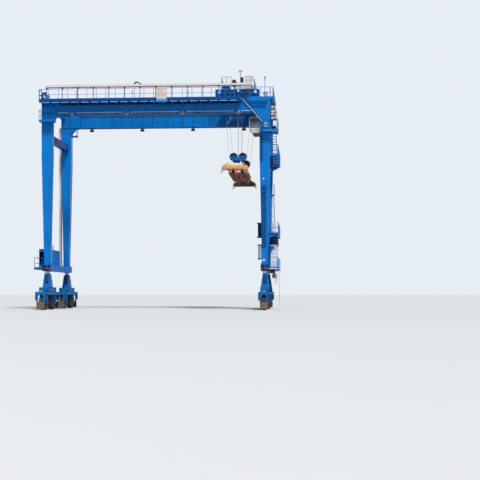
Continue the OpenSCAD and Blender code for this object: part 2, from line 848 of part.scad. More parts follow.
// Decks outside the sill beams, with guard rails at their ends and beside the ladders
module sill_platforms() {
    x = access_x - rail_t / 2;
    color("royalblue") both_sides() {
        block([sill_x, access_x], [-sill_deck_l, sill_deck_l], [sill_deck_z - sill_deck_t, sill_deck_z]);
        both_ends() {
            guard_x([sill_x, x], sill_deck_l - rail_t / 2, sill_deck_z, 1);
            guard_y(x, [sill_guard_y, sill_deck_l], sill_deck_z, 1);
        }
    }
}
module electrical_house() {
    x = [sill_x + house_x, sill_x + house_x + house_w];
    color("white") {
        block(x, [-house_l / 2, house_l / 2], [sill_deck_z, sill_deck_z + house_h - roof_t]);
        block([x[0] - roof_lip, x[1] + roof_lip], [-house_l / 2 - roof_lip, house_l / 2 + roof_lip],
            [sill_deck_z + house_h - roof_t, sill_deck_z + house_h]);
    }
}
// Braking resistors on the electrical house's roof
module resistor_box() {
    x = sill_x + house_x + house_w / 2 - resistor_w / 2 + resistor_shift;
    z = sill_deck_z + house_h;
    color("dimgray") block([x, x + resistor_w],
        [resistor_y - resistor_l / 2, resistor_y + resistor_l / 2], [z, z + resistor_h]);
}
// The engine's housing on the left, with its exhaust stack
module power_pack() {
    x = [sill_x + house_x, sill_x + house_x + pack_w];
    z = sill_deck_z + pack_h;
    color("steelblue") on_side(-1) {
        block(x, [-pack_l / 2, pack_l / 2], [sill_deck_z, z]);
        translate([(x[0] + x[1]) / 2, pack_l / 4, z - 1]) cylinder(h = stack_h + 1, r = stack_r);
    }
}
// A box whose back follows a right leg's inner face
module inner_box(w, y, z) {
    x = half_span - seam_gap;
    translate([0, (y[0] + y[1]) / 2, 0]) plate_xz(y[1] - y[0]) polygon([
        [x - leg_half(z[1]) - w, z[0]], [x - leg_half(z[0]), z[0]],
        [x - leg_half(z[1]), z[1]], [x - leg_half(z[1]) - w, z[1]]]);
}
// Boxes on the legs, and the cable duct up the rear left leg
module leg_boxes() {
    y = [-leg_front + box_inset, -leg_back - box_inset];
    color("gainsboro") {
        block([leg_out, leg_out + head_box_w], y, [head_box_z, head_box_z + head_box_h]);
        block([leg_out, leg_out + low_box_w], y,
            [landing_3_z - deck_plate - low_box_h, landing_3_z - deck_plate]);
        inner_box(low_box_w - box_inset, y, [inner_box_z, inner_box_z + inner_box_h]);
        inner_box(low_box_w - box_inset, y, [panel_z, panel_z + inner_box_h]);
        block([-leg_out - duct_w, -leg_out], [leg_back, leg_back + duct_d], [sill_deck_z, girder_z]);
        block([half_span - grey_box_w / 4, half_span + 3 * grey_box_w / 4],
            [-leg_front - grey_box_d, -leg_front], [grey_box_z, grey_box_z + small_box_h]);
        block([leg_out + navy_box_x, leg_out + navy_box_x + navy_box_l], y,
            [landing_4_z, landing_4_z + small_box_h]);
    }
}

// Children placed about the trolley's centre
module at_trolley() { translate([trolley_x, 0, 0]) children(); }
module both_beams() { for (s = [-1, 1]) translate([s * trolley_base / 2, 0, 0]) children(); }
module trolley_frame() {
    color("royalblue") at_trolley() {
        difference() {
            union() {
                for (s = [-1, 1]) block([-trolley_l / 2, trolley_l / 2],
                    [s * half_gap - side_beam_w / 2, s * half_gap + side_beam_w / 2], [beam_z0, beam_z1]);
                both_beams() block([-cross_w / 2, cross_w / 2], [-half_gap, half_gap], [cross_z, beam_z1]);
            }
            both_beams() for (s = [-1, 1]) translate([0, s * half_gap, 0])
                block([-trolley_wheel_r - pocket_gap, trolley_wheel_r + pocket_gap],
                    [-wheel_w / 2 - pocket_gap, wheel_w / 2 + pocket_gap],
                    [beam_z0 - 1, wheel_z + trolley_wheel_r + pocket_gap]);
        }
        both_beams() for (s = [-1, 1]) translate([0, s * half_gap + side_beam_w / 2, wheel_z])
            rotate([90, 0, 0]) cylinder(h = side_beam_w, r = trolley_axle_r);
        for (y = [-bearer_out, -bearer_in, bearer_in, bearer_out])
            block([-trolley_base / 2, trolley_base / 2], [y - bearer_w / 2, y + bearer_w / 2],
                [cross_z, beam_z1]);
        for (s = [-1, 1]) block([-equal_w / 2, equal_w / 2],
            s < 0 ? [-bearer_out, -bearer_in] : [bearer_in, bearer_out], [beam_z1 - equal_h, beam_z1]);
        block([-deck_w / 2, deck_w / 2], [-deck_l / 2, deck_l / 2], [beam_z1, beam_z1 + deck_thin]);
        for (s = [-1, 1], y = [-bearer_out, bearer_out]) translate([s * drum_x, y, 0]) difference() {
            translate([0, 0, (beam_z1 + drum_z) / 2]) cube([2 * (drum_shaft_r + pedestal_t), pedestal_t,
                drum_z - beam_z1 + 2 * pedestal_t], center = true);
            translate([0, pedestal_t, drum_z]) rotate([90, 0, 0])
                cylinder(h = 2 * pedestal_t, r = drum_shaft_r + axle_gap);
        }
        for (y = [-hanger_y, hanger_y])
            block([trolley_base / 2 - hanger_w / 2, trolley_base / 2 + hanger_w / 2],
                [y - hanger_t / 2, y + hanger_t / 2], [cabin_top, cross_z]);
    }
}
module trolley_wheels() {
    color("dimgray") at_trolley() both_beams() for (s = [-1, 1])
        translate([0, s * half_gap + wheel_w / 2, wheel_z]) rotate([90, 0, 0]) difference() {
            cylinder(h = wheel_w, r = trolley_wheel_r);
            translate([0, 0, -1]) cylinder(h = wheel_w + 2, r = trolley_axle_r + axle_gap);
        }
}
// Two rope drums along Y, each with end flanges and shaft ends
module hoist_drums() {
    color("dimgray") at_trolley() for (s = [-1, 1])
        translate([s * drum_x, 0, drum_z]) rotate([90, 0, 0]) {
            cylinder(h = drum_l, r = drum_r, center = true);
            cylinder(h = 2 * bearer_out + pedestal_t, r = drum_shaft_r, center = true);
        }
}
// The gearbox between the drums and the motor above it
module hoist_drive() {
    z0 = beam_z1 + deck_thin;
    z1 = z0 + gear_h;
    color("firebrick") at_trolley() {
        block([-gear_w / 2, gear_w / 2], [-gear_l / 2, gear_l / 2], [z0, z1]);
        block([motor_x - motor_r, motor_x + motor_r], [-gear_l / 2, gear_l / 2 - motor_r],
            [z1, z1 + motor_r]);
        translate([motor_x, -motor_y, z1 + motor_r]) rotate([-90, 0, 0]) cylinder(h = motor_l, r = motor_r);
    }
}
module trolley_handrails() {
    y = half_gap + side_beam_w / 2 - rail_t / 2;
    x = trolley_base / 2 - cross_w / 2 + rail_t;
    color("royalblue") at_trolley() {
        guard_x([-trolley_rail_x, trolley_rail_l - trolley_rail_x], -y, beam_z1, 2, trolley_rail_h);
        guard_x([-x, x], y, beam_z1, 4, trolley_rail_h);
        for (s = [-1, 1]) guard_y(s * x, [-guard_end, guard_end], beam_z1, 6, trolley_rail_h);
    }
}
module trolley_cabinet() {
    color("white") at_trolley() block([panel_x, panel_x + panel_w],
        [-half_gap - panel_d / 2, -half_gap + panel_d / 2], [beam_z1, beam_z1 + panel_h]);
}
// The mast with two lamps, and a small box on its foot post
module trolley_mast() {
    y = -half_gap - side_beam_w / 4;
    z = beam_z1 + mast_h;
    color("dimgray") at_trolley() {
        translate([mast_x, y, beam_z1]) cylinder(h = mast_h, r = mast_r);
        block([mast_x - mast_lamp, mast_x + mast_lamp], [y - mast_lamp / 2, y + mast_lamp / 2],
            [z, z + mast_lamp]);
        block([mast_x, mast_x + mast_box_w], [y - mast_r, y + mast_r],
            [mast_box_z, mast_box_z + mast_box_h]);
    }
}
// A point of the cabin's slanted lower front at part k of its length, d inside its surface
function slant(k, d) = [
    cabin_x0 + k * cabin_slope_x + d * cabin_slope_z / cabin_slope,
    cabin_z + (1 - k) * cabin_slope_z + d * cabin_slope_x / cabin_slope
];
// The cabin's outline in the XZ plane, d inside its surface
function cabin_outline(d) = [
    [cabin_x0 + d, cabin_z + (slant_c + d - cabin_slope_z / cabin_slope * d)
        * cabin_slope / cabin_slope_x],
    [cabin_x0 + (slant_c + d - cabin_slope_x / cabin_slope * d) * cabin_slope / cabin_slope_z,
        cabin_z + d],
    [cabin_x0 + cabin_w - d, cabin_z + d],
    [cabin_x0 + cabin_w - d, cabin_top - d],
    [cabin_x0 + d, cabin_top - d]
];
// The cabin's window openings or panes, from d0 to d1 inside its surface
module cabin_glazing(d0, d1) {
    y = cabin_d / 2 - window_edge;
    z = [cabin_z + cabin_slope_z + window_edge / 2, cabin_top - window_edge];
    block([cabin_x0 + d0, cabin_x0 + d1], [-y, y], z);
    plate_xz(2 * y) polygon([slant(slant_from, d0), slant(slant_to, d0), slant(slant_to, d1),
        slant(slant_from, d1)]);
    for (s = [-1, 1]) block([cabin_x0 + window_edge, cabin_x0 + cabin_w - window_edge],
        s < 0 ? [d0 - cabin_d / 2, d1 - cabin_d / 2] : [cabin_d / 2 - d1, cabin_d / 2 - d0], z);
}
module operator_cabin() {
    color("royalblue") at_trolley() difference() {
        plate_xz(cabin_d) polygon(cabin_outline(0));
        plate_xz(cabin_d - 2 * cabin_t) polygon(cabin_outline(cabin_t));
        cabin_glazing(-1, cabin_t + 1);
    }
}
module cabin_windows() {
    color("lightblue", 0.5) at_trolley()
        cabin_glazing((cabin_t - pane_t) / 2, (cabin_t + pane_t) / 2);
}
// Rope falls from the drums around the headblock's sheaves to the fixed ends in the frame
module hoist_ropes() {
    r = rope_d / 2;
    reach = r + rope_gap;
    color("dimgray") at_trolley() for (s = [-1, 1], y = [-sheave_y, sheave_y]) {
        bar([s * (drum_x + (drum_r + reach) / cos(fall_angle)), y, drum_z],
            [s * (sheave_x + (sheave_r + reach) / cos(fall_angle)), y, sheave_z], r);
        translate([s * (sheave_x - sheave_r - reach), y, sheave_z])
            cylinder(h = beam_z1 - equal_h - sheave_z, r = r);
    }
}

// The headblock's base beam with the cheek plates and axles of its four sheaves
module headblock() {
    z = block_z0 + block_h;
    color("royalblue") at_trolley() {
        block([-block_half, block_half], [-sheave_y - block_over, sheave_y + block_over], [block_z0, z]);
        for (y = [-sheave_y, sheave_y], s = [-1, 1])
            translate([0, y + s * (sheave_w / 2 + sheave_gap + cheek_plate_t / 2), 0])
                plate_xz(cheek_plate_t) polygon([
                    [-block_half, z - block_h / 2], [block_half, z - block_h / 2],
                    [cheek_plate_half, sheave_z - sheave_hub_r],
                    [cheek_plate_half, sheave_z + sheave_hub_r],
                    [-cheek_plate_half, sheave_z + sheave_hub_r],
                    [-cheek_plate_half, sheave_z - sheave_hub_r]]);
        for (y = [-sheave_y, sheave_y], x = [-sheave_x, sheave_x]) translate([x, y, sheave_z])
            rotate([90, 0, 0]) cylinder(h = sheave_w + 2 * (sheave_gap + cheek_plate_t),
                r = sheave_axle_r, center = true);
    }
}
module headblock_sheaves() {
    color("dimgray") at_trolley() for (y = [-sheave_y, sheave_y], x = [-sheave_x, sheave_x])
        translate([x, y, sheave_z]) rotate([90, 0, 0]) difference() {
            cylinder(h = sheave_w, r = sheave_r, center = true);
            cylinder(h = sheave_w + 2, r = sheave_axle_r + axle_gap, center = true);
        }
}
// The fixed frame with four slots for the telescopic arms, and posts up to the headblock
module spreader_frame() {
    half = arm_w / 2 + arm_gap;
    mouth = arm_w / 2 + pad_gap;
    color("royalblue") at_trolley() {
        difference() {
            block([-frame_half, frame_half], [-spreader_l / 2, spreader_l / 2], [frame_z0, frame_z1]);
            for (x = [-arm_out, -arm_in, arm_in, arm_out]) {
                block([x - half, x + half], [pad_l - spreader_l / 2, spreader_l / 2 - pad_l],
                    [arm_z - arm_gap, arm_z + arm_h + arm_gap]);
                block([x - mouth, x + mouth], [-spreader_l / 2 - 1, spreader_l / 2 + 1],
                    [arm_z - pad_gap, arm_z + arm_h + pad_gap]);
            }
        }
        for (x = [-post_x, post_x], y = [-post_y, post_y])
            block([x - post_w / 2, x + post_w / 2], [y - post_w / 2, y + post_w / 2],
                [frame_z1, block_z0]);
    }
}
// A telescopic end beam: two arms with wear pads, the cross beam, twistlocks and guide lugs
module spreader_beam(s, arm_x) {
    pad_t = arm_gap - pad_gap;
    arm_end = spreader_l / 2 - arm_hold;
    y = [lock_y - end_beam_d / 2, lock_y + end_beam_d / 2];
    color("goldenrod") at_trolley() on_end(s) {
        block([-end_half, end_half], y, [spreader_z, spreader_z + end_beam_h]);
        block([-riser_half, riser_half], y, [spreader_z, frame_z1 + riser_over]);
        for (x = [-arm_x, arm_x]) {
            block([x - arm_w / 2, x + arm_w / 2], [arm_end, lock_y], [arm_z, arm_z + arm_h]);
            block([x - arm_w / 2 - pad_t, x + arm_w / 2 + pad_t], [arm_end, arm_end + pad_l],
                [arm_z - pad_t, arm_z + arm_h + pad_t]);
        }
        both_sides() {
            translate([lock_w / 2, lock_y, spreader_z - lock_drop])
                cylinder(h = 2 * lock_drop, r = lock_r);
            translate([lock_w / 2, lock_y, spreader_z - lock_drop - lock_head_h])
                cylinder(h = lock_head_h, r = lock_head_r);
            for (k = [-1, 1]) translate([0, lock_y + k * (guide_w / 2 + lug_gap + lug_t / 2), 0])
                block([end_half - lug_t, pin_x + lug_over], [-lug_t / 2, lug_t / 2],
                    [pin_z - lug_over, pin_z + lug_over]);
            translate([pin_x, lock_y, pin_z]) rotate([90, 0, 0])
                cylinder(h = guide_w + 2 * (lug_gap + lug_t), r = guide_pin_r, center = true);
        }
    }
}
// A corner guide that hangs from its pin, with a flared tip
module corner_guide(sx, sy) {
    color("goldenrod") at_trolley() on_side(sx) on_end(sy) translate([pin_x, lock_y, pin_z])
        difference() {
            union() {
                plate_xz(guide_w) circle(guide_boss_r);
                plate_xz(guide_w) polygon([[-guide_t / 2, 0], [guide_t / 2, 0],
                    [guide_t / 2, flare_h - guide_l], [guide_flare + guide_t / 2, -guide_l],
                    [guide_flare - guide_t / 2, -guide_l], [-guide_t / 2, flare_h - guide_l]]);
            }
            plate_xz(2 * guide_w) circle(guide_pin_r + pin_gap);
        }
}

// Half of a bogie's end: the arch plate before the tyre and the hanging bumper plate
module bogie_end_plate() {
    y = [bogie_end - guard_t, bogie_end];
    arch_top = cover_z - arch_h;
    difference() {
        block([-bogie_w / 2, bogie_w / 2], y, [cover_z - guard_drop, cover_z]);
        block([-cheek_in, cheek_in], [y[0] - 1, y[1] + 1], [cover_z - guard_drop - 1, arch_top - cheek_in]);
        translate([0, (y[0] + y[1]) / 2, 0]) plate_xz(2 * guard_t)
            translate([0, arch_top - cheek_in]) circle(cheek_in);
    }
    for (s = [-1, 1]) on_side(s) block([bumper_w / 2 - bracket_w, bumper_w / 2],
        [y[0], bogie_end + bumper_out], [bumper_z + bumper_h - bracket_w, cover_z - guard_drop + bracket_w]);
    block([-bumper_w / 2, bumper_w / 2], [bogie_end + bumper_out - bumper_t, bogie_end + bumper_out],
        [bumper_z, bumper_z + bumper_h]);
}
module bogie(sx, sy) {
    beam_top = cover_z + cover_t + bogie_rise;
    color("royalblue") translate([sx * half_span, sy * half_gap, 0]) {
        translate([0, 0, bogie_top - flange_r]) cylinder(h = flange_r, r = ring_r);
        difference() {
            plate_xz(pedestal_d) polygon([[-hip_w / 2, beam_top], [hip_w / 2, beam_top],
                [neck_w / 2, bogie_top - flange_r], [-neck_w / 2, bogie_top - flange_r]]);
            plate_xz(2 * pedestal_d) translate([0, window_z]) circle(window_r);
        }
        block([-bogie_beam_w / 2, bogie_beam_w / 2], [-bogie_beam_l / 2, bogie_beam_l / 2],
            [cover_z + cover_t, beam_top]);
        block([-bogie_w / 2, bogie_w / 2], [-bogie_end, bogie_end], [cover_z, cover_z + cover_t]);
        both_sides() block([bogie_w / 2 - skirt_t, bogie_w / 2], [-bogie_end, bogie_end],
            [cover_z - skirt_h, cover_z]);
        both_ends() {
            bogie_end_plate();
            both_sides() block([cheek_in, cheek_in + cheek_t],
                [bogie_base / 2 - cheek_l / 2, bogie_base / 2 + cheek_l / 2],
                [tyre_r - cheek_drop, cover_z]);
            translate([-cheek_in - cheek_t, bogie_base / 2, tyre_r]) rotate([0, 90, 0])
                cylinder(h = 2 * (cheek_in + cheek_t), r = axle_r);
        }
    }
}
// Half of a wheel's section, as radius and distance from the middle, from bore to tread
wheel_half = [
    [axle_r + axle_gap, hub_half], [hub_r, hub_half], [hub_r, disc_t / 2],
    [rim_r - rim_t, disc_t / 2], [rim_r - rim_t, tyre_w / 2 - bead_in], [rim_r, tyre_w / 2 - bead_in],
    [rim_r + wall_r, tyre_w / 2], [tyre_r - shoulder_r, tyre_w / 2 - shoulder_r],
    [tyre_r, tyre_w / 2 - tread_edge]
];
// A wheel with its tyre: k is 1 for the outer axle and -1 for the inner one
module wheel(sx, sy, k) {
    n = len(wheel_half);
    color("dimgray")
        translate([sx * half_span, sy * (half_gap + k * bogie_base / 2), tyre_r]) rotate([0, 90, 0])
            rotate_extrude() polygon(concat(wheel_half,
                [for (i = [n - 1 : -1 : 0]) [wheel_half[i][0], -wheel_half[i][1]]]));
}

module front_girder() { girder(-1); }
module rear_girder() { girder(1); }
module front_left_leg() { left_leg(-1); }
module rear_left_leg() { left_leg(1); }
module front_right_leg() { right_leg(-1); }
module rear_right_leg() { right_leg(1); }
module front_spreader_beam() { spreader_beam(-1, arm_out); }
module rear_spreader_beam() { spreader_beam(1, arm_in); }
module front_left_guide() { corner_guide(-1, -1); }
module front_right_guide() { corner_guide(1, -1); }
module rear_left_guide() { corner_guide(-1, 1); }
module rear_right_guide() { corner_guide(1, 1); }
module front_left_bogie() { bogie(-1, -1); }
module front_right_bogie() { bogie(1, -1); }
module rear_left_bogie() { bogie(-1, 1); }
module rear_right_bogie() { bogie(1, 1); }
module front_left_outer_wheel() { wheel(-1, -1, 1); }
module front_left_inner_wheel() { wheel(-1, -1, -1); }
module front_right_outer_wheel() { wheel(1, -1, 1); }
module front_right_inner_wheel() { wheel(1, -1, -1); }
module rear_left_outer_wheel() { wheel(-1, 1, 1); }
module rear_left_inner_wheel() { wheel(-1, 1, -1); }
module rear_right_outer_wheel() { wheel(1, 1, 1); }
module rear_right_inner_wheel() { wheel(1, 1, -1); }

front_girder();
rear_girder();
front_left_leg();
rear_left_leg();
front_right_leg();
rear_right_leg();
sill_beams();
tie_beams();
slewing_rings();
trolley_rails();
walkways();
walkway_handrails();
end_platforms();
end_handrails();
cable_tray();
cable_chain();
walkway_cabinet();
floodlights();
leg_platforms();
leg_handrails();
stair_stringers();
stair_treads();
ladders();
sill_platforms();
electrical_house();
resistor_box();
power_pack();
leg_boxes();
trolley_frame();
trolley_wheels();
hoist_drums();
hoist_drive();
trolley_handrails();
trolley_cabinet();
trolley_mast();
operator_cabin();
cabin_windows();
hoist_ropes();
headblock();
headblock_sheaves();
spreader_frame();
front_spreader_beam();
rear_spreader_beam();
front_left_guide();
front_right_guide();
rear_left_guide();
rear_right_guide();
front_left_bogie();
front_right_bogie();
rear_left_bogie();
rear_right_bogie();
front_left_outer_wheel();
front_left_inner_wheel();
front_right_outer_wheel();
front_right_inner_wheel();
rear_left_outer_wheel();
rear_left_inner_wheel();
rear_right_outer_wheel();
rear_right_inner_wheel();
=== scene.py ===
import math

import bmesh
import bpy
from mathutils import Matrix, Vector


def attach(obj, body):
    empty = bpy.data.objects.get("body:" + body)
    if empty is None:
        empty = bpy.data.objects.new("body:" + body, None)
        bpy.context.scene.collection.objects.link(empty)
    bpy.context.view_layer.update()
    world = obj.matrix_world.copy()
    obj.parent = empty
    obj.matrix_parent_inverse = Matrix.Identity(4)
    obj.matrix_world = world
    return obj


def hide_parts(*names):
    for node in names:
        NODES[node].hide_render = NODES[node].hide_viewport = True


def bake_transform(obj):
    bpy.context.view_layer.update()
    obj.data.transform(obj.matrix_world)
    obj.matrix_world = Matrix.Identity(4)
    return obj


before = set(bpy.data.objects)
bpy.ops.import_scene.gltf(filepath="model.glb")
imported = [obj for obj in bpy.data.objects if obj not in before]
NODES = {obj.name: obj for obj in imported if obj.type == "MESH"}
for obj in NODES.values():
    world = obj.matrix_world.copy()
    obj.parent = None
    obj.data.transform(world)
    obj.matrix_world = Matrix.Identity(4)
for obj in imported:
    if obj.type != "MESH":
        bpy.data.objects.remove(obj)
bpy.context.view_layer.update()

# Sizes in metres. Leg centres from the middle, along X and Y
HS, HG = 11.735, 3.2
# Girders: their ends along X, their top, and a web's distance from their middle
OUT, GT, WEB_Y = 12.3, 22.5, 0.33
# Walkways: deck height, inner and outer edge, right end, and the cable tray's height
DECK, IN_Y, OUT_Y, WALK_END, TRAY_Z = 22.35, 3.53, 4.33, 9.2, 23.62
# Outer edge of the decks at the legs, the radius of rails, and the heights of those decks
REACH, RAIL_R = 13.135, 0.024
SILL_DECK, LANDING_1, LANDING_2, LANDING_3, LANDING_4, LEG_DECK = 4.45, 8.2, 12.3, 16.4, 18.95, 20.15
# Legs: the height of the feet, where they reach full width, and where the right legs' heads begin
FOOT_Z, FULL_Z, HEAD_Z = 4.83, 16.4, 19.93
# Trolley's place along X, and the heights of its side beams, cross beams and drums
TX, BEAM_Z, CROSS_Z, DRUM_Z = 8.79, 23.45, 23.03, 23.90
# Trolley: its cross beams and axles, and its drums, from its middle along X, and the height of the axles
CROSS_X, DRUM_X, AXLE_Z = 1.85, 1.25, 22.92
# Headblock sheaves: height, distance from the middle along X and Y, radius of the rope's line
SHEAVE_Z, SHEAVE_X, SHEAVE_Y, SHEAVE_R = 16.45, 0.49, 2.3, 0.45
# Twistlocks along Y, and the radius of the tyres
LOCK_Y, TYRE_R = 5.9925, 0.875


# Materials

def shader(name, color, rough=0.5, metal=0.0):
    m = bpy.data.materials.new(name)
    m.use_nodes = True
    b = m.node_tree.nodes["Principled BSDF"]
    b.inputs["Base Color"].default_value = (*color, 1)
    b.inputs["Roughness"].default_value = rough
    b.inputs["Metallic"].default_value = metal
    return m, m.node_tree.nodes, m.node_tree.links, b


def noise(nodes, links, scale, stretch=(1, 1, 1), detail=5.0):
    where = nodes.new("ShaderNodeTexCoord")
    mapping = nodes.new("ShaderNodeMapping")
    mapping.inputs["Scale"].default_value = stretch
    tex = nodes.new("ShaderNodeTexNoise")
    tex.inputs["Scale"].default_value = scale
    tex.inputs["Detail"].default_value = detail
    links.new(where.outputs["Object"], mapping.inputs["Vector"])
    links.new(mapping.outputs["Vector"], tex.inputs["Vector"])
    return tex.outputs["Fac"]


def ramp(nodes, links, fac, low, high, a=0.0, b=1.0):
    r = nodes.new("ShaderNodeMapRange")
    r.inputs["From Min"].default_value = low
    r.inputs["From Max"].default_value = high
    r.inputs["To Min"].default_value = a
    r.inputs["To Max"].default_value = b
    links.new(fac, r.inputs["Value"])
    return r.outputs["Result"]


def mix(nodes, links, fac, a, b):
    n = nodes.new("ShaderNodeMix")
    n.data_type = "RGBA"
    for key, value in ((6, a), (7, b)):
        if isinstance(value, tuple):
            n.inputs[key].default_value = (*value, 1)
        else:
            links.new(value, n.inputs[key])
    links.new(fac, n.inputs[0])
    return n.outputs[2]


def paint(name, color, rough=0.42, worn=0.25, dirt=(0.16, 0.13, 0.10), dirty=0.25, rust=0.0, metal=0.0,
          chalk=0.05, shine=0.4):
    """Paint with broad fading, streaks that run down, dust and, where asked, rust spots."""
    m, nodes, links, b = shader(name, color, rough, metal)
    b.inputs["Specular IOR Level"].default_value = shine
    pale = tuple(min(1.0, c * (1 + 0.35 * worn) + chalk * worn) for c in color)
    deep = tuple(c * (1 - 0.5 * worn) for c in color)
    broad = ramp(nodes, links, noise(nodes, links, 0.35), 0.35, 0.65)
    streak = ramp(nodes, links, noise(nodes, links, 2.2, (1, 1, 0.07)), 0.55, 0.80, 0.0, dirty)
    grain = ramp(nodes, links, noise(nodes, links, 9.0), 0.35, 0.75, rough - 0.08, rough + 0.18)
    base = mix(nodes, links, streak, mix(nodes, links, broad, deep, pale), dirt)
    if rust:
        spots = ramp(nodes, links, noise(nodes, links, 5.5, (1, 1, 0.6), 9.0), 0.68 - 0.12 * rust, 0.74)
        base = mix(nodes, links, spots, base, (0.17, 0.06, 0.025))
    links.new(base, b.inputs["Base Color"])
    links.new(grain, b.inputs["Roughness"])
    bump = nodes.new("ShaderNodeBump")
    bump.inputs["Strength"].default_value = 0.12
    bump.inputs["Distance"].default_value = 0.01
    links.new(noise(nodes, links, 1.6, detail=2.0), bump.inputs["Height"])
    links.new(bump.outputs["Normal"], b.inputs["Normal"])
    return m


def blue(name, color, rough=0.42, worn=0.3, dirt=(0.004, 0.035, 0.11), dirty=0.4, shine=0.10):
    """Paint that stays a clear blue where it fades."""
    return paint(name, color, rough, worn, dirt, dirty, chalk=0.0, shine=shine)


BLUE = blue("sea_blue", (0.001, 0.190, 0.62), worn=0.22, dirty=0.35)
DEEP = blue("deep_blue", (0.001, 0.070, 0.29), dirt=(0.003, 0.02, 0.06))
MID = blue("middle_blue", (0.001, 0.125, 0.44))
SKY = paint("light_blue", (0.05, 0.36, 0.78), 0.42, 0.25, shine=0.15)
DUSTY = blue("dusty_blue", (0.006, 0.155, 0.44), 0.5, 0.35, (0.035, 0.055, 0.075), 0.55)
EDGE = blue("edge_blue", (0.014, 0.23, 0.58), 0.45, shine=0.12)
# A darker blue for the front girder only: painted shade of the walkway over its web
SHADED_WEB = blue("web_blue_painted_shade", (0.001, 0.145, 0.50), worn=0.25)
ICE = paint("ice_blue", (0.26, 0.56, 0.84), 0.42, 0.2, shine=0.15)
NAVY = paint("navy", (0.002, 0.014, 0.060), 0.45, 0.3, chalk=0.0, shine=0.10)
WHITE = paint("white_enamel", (0.80, 0.83, 0.84), 0.36, 0.1, dirty=0.3)
BEIGE = paint("beige_enamel", (0.73, 0.63, 0.54), 0.45, 0.2, dirty=0.35)
GALV = paint("galvanised", (0.60, 0.66, 0.70), 0.5, 0.3, dirty=0.2, metal=0.35)
STEEL = paint("bare_steel", (0.32, 0.33, 0.34), 0.38, 0.3, rust=0.3, metal=0.8)
DARK = paint("greased_steel", (0.022, 0.024, 0.030), 0.55, 0.3, dirty=0.15, chalk=0.01, shine=0.2)
RUSTY = paint("rusty_steel", (0.20, 0.085, 0.035), 0.75, 0.5, rust=1.0)
TAN = paint("worn_orange", (0.74, 0.40, 0.13), 0.5, 0.45, dirt=(0.20, 0.10, 0.05), dirty=0.5, rust=0.5)
# Cream, used also as a painted highlight on the spreader's lit tops and near end
CREAM_AND_HIGHLIGHT = paint("faded_cream_and_highlight", (0.90, 0.72, 0.47), 0.5, 0.3, dirt=(0.36, 0.20, 0.09), dirty=0.3, rust=0.15)
RED = paint("machine_red", (0.30, 0.03, 0.02), 0.5, 0.25)
BLACK = paint("black_plastic", (0.018, 0.018, 0.020), 0.55, 0.3)
YELLOW = paint("safety_yellow", (0.85, 0.50, 0.02), 0.42, 0.25, dirty=0.35)
RUBBER = paint("tyre_rubber_dusty", (0.045, 0.037, 0.032), 0.85, 0.4, (0.20, 0.14, 0.09), 0.9)
# Brown for the spreader's underside: painted shade of its orange, with rust spots
SHADE_BROWN = paint("painted_shade_brown", (0.40, 0.135, 0.095), 0.7, 0.5, (0.17, 0.07, 0.05), 0.4, rust=0.35)
RIM = paint("rim_brown", (0.22, 0.14, 0.085), 0.65, 0.4, dirty=0.5, rust=0.5)
BOX_GREY = paint("duct_grey", (0.33, 0.36, 0.46), 0.55, 0.2)
CABIN = paint("cabin_grey", (0.50, 0.50, 0.50), 0.45, 0.25, dirty=0.35, shine=0.2)
PANEL = paint("cabin_beige", (0.78, 0.72, 0.62), 0.45, 0.2, dirty=0.3)
DUCT = paint("duct_white", (0.66, 0.63, 0.63), 0.5, 0.2, dirty=0.3, shine=0.2)
TRAY = paint("tray_grey", (0.78, 0.71, 0.71), 0.5, 0.15, dirty=0.2, shine=0.2)


def glass(name, color, alpha):
    m, nodes, links, b = shader(name, color, 0.06)
    b.inputs["Alpha"].default_value = alpha
    fade = ramp(nodes, links, noise(nodes, links, 1.2), 0.3, 0.7, 0.04, 0.12)
    links.new(fade, b.inputs["Roughness"])
    return m


PANE = glass("cabin_pane", (0.11, 0.17, 0.22), 0.80)
LENS = glass("lamp_lens", (0.80, 0.86, 0.90), 0.85)


def stripes(name, a, b, pitch):
    """Slanted warning stripes in the XZ plane, mirrored about each bogie's middle."""
    m, nodes, links, bsdf = shader(name, a, 0.5)
    where = nodes.new("ShaderNodeTexCoord")
    split = nodes.new("ShaderNodeSeparateXYZ")
    links.new(where.outputs["Object"], split.inputs[0])

    def math_node(op, x, y=None):
        n = nodes.new("ShaderNodeMath")
        n.operation = op
        for i, value in enumerate((x, y)):
            if value is None:
                continue
            if isinstance(value, float):
                n.inputs[i].default_value = value
            else:
                links.new(value, n.inputs[i])
        return n.outputs[0]

    side = math_node("ABSOLUTE", math_node("SUBTRACT", math_node("ABSOLUTE", split.outputs["X"]), HS))
    wave = math_node("FRACT", math_node("DIVIDE", math_node("ADD", side, split.outputs["Z"]), pitch))
    dusty = ramp(nodes, links, noise(nodes, links, 4.0, (1, 1, 0.4)), 0.34, 0.66, 0.10, 0.85)
    base = mix(nodes, links, math_node("GREATER_THAN", wave, 0.5), a, b)
    links.new(mix(nodes, links, dusty, base, (0.13, 0.085, 0.055)), bsdf.inputs["Base Color"])
    return m


CHEVRON = stripes("warning_stripes", (0.31, 0.18, 0.080), (0.024, 0.017, 0.015), 0.34)


def slats(name, color, gap, pitch, axis):
    """A grating's open look: dark lines across the metal along one axis."""
    m, nodes, links, b = shader(name, color, 0.5, 0.4)
    wave = nodes.new("ShaderNodeTexWave")
    wave.bands_direction = axis
    wave.inputs["Scale"].default_value = 1.0 / pitch / 3.14
    where = nodes.new("ShaderNodeTexCoord")
    links.new(where.outputs["Object"], wave.inputs["Vector"])
    open_part = ramp(nodes, links, wave.outputs["Fac"], 0.45, 0.55)
    links.new(mix(nodes, links, open_part, color, gap), b.inputs["Base Color"])
    return m


GRATE = slats("grating", (0.45, 0.50, 0.54), (0.06, 0.07, 0.08), 0.035, "X")


# Mesh building

def circle(n, r=1.0):
    return [(r * math.cos(2 * math.pi * i / n), r * math.sin(2 * math.pi * i / n)) for i in range(n)]


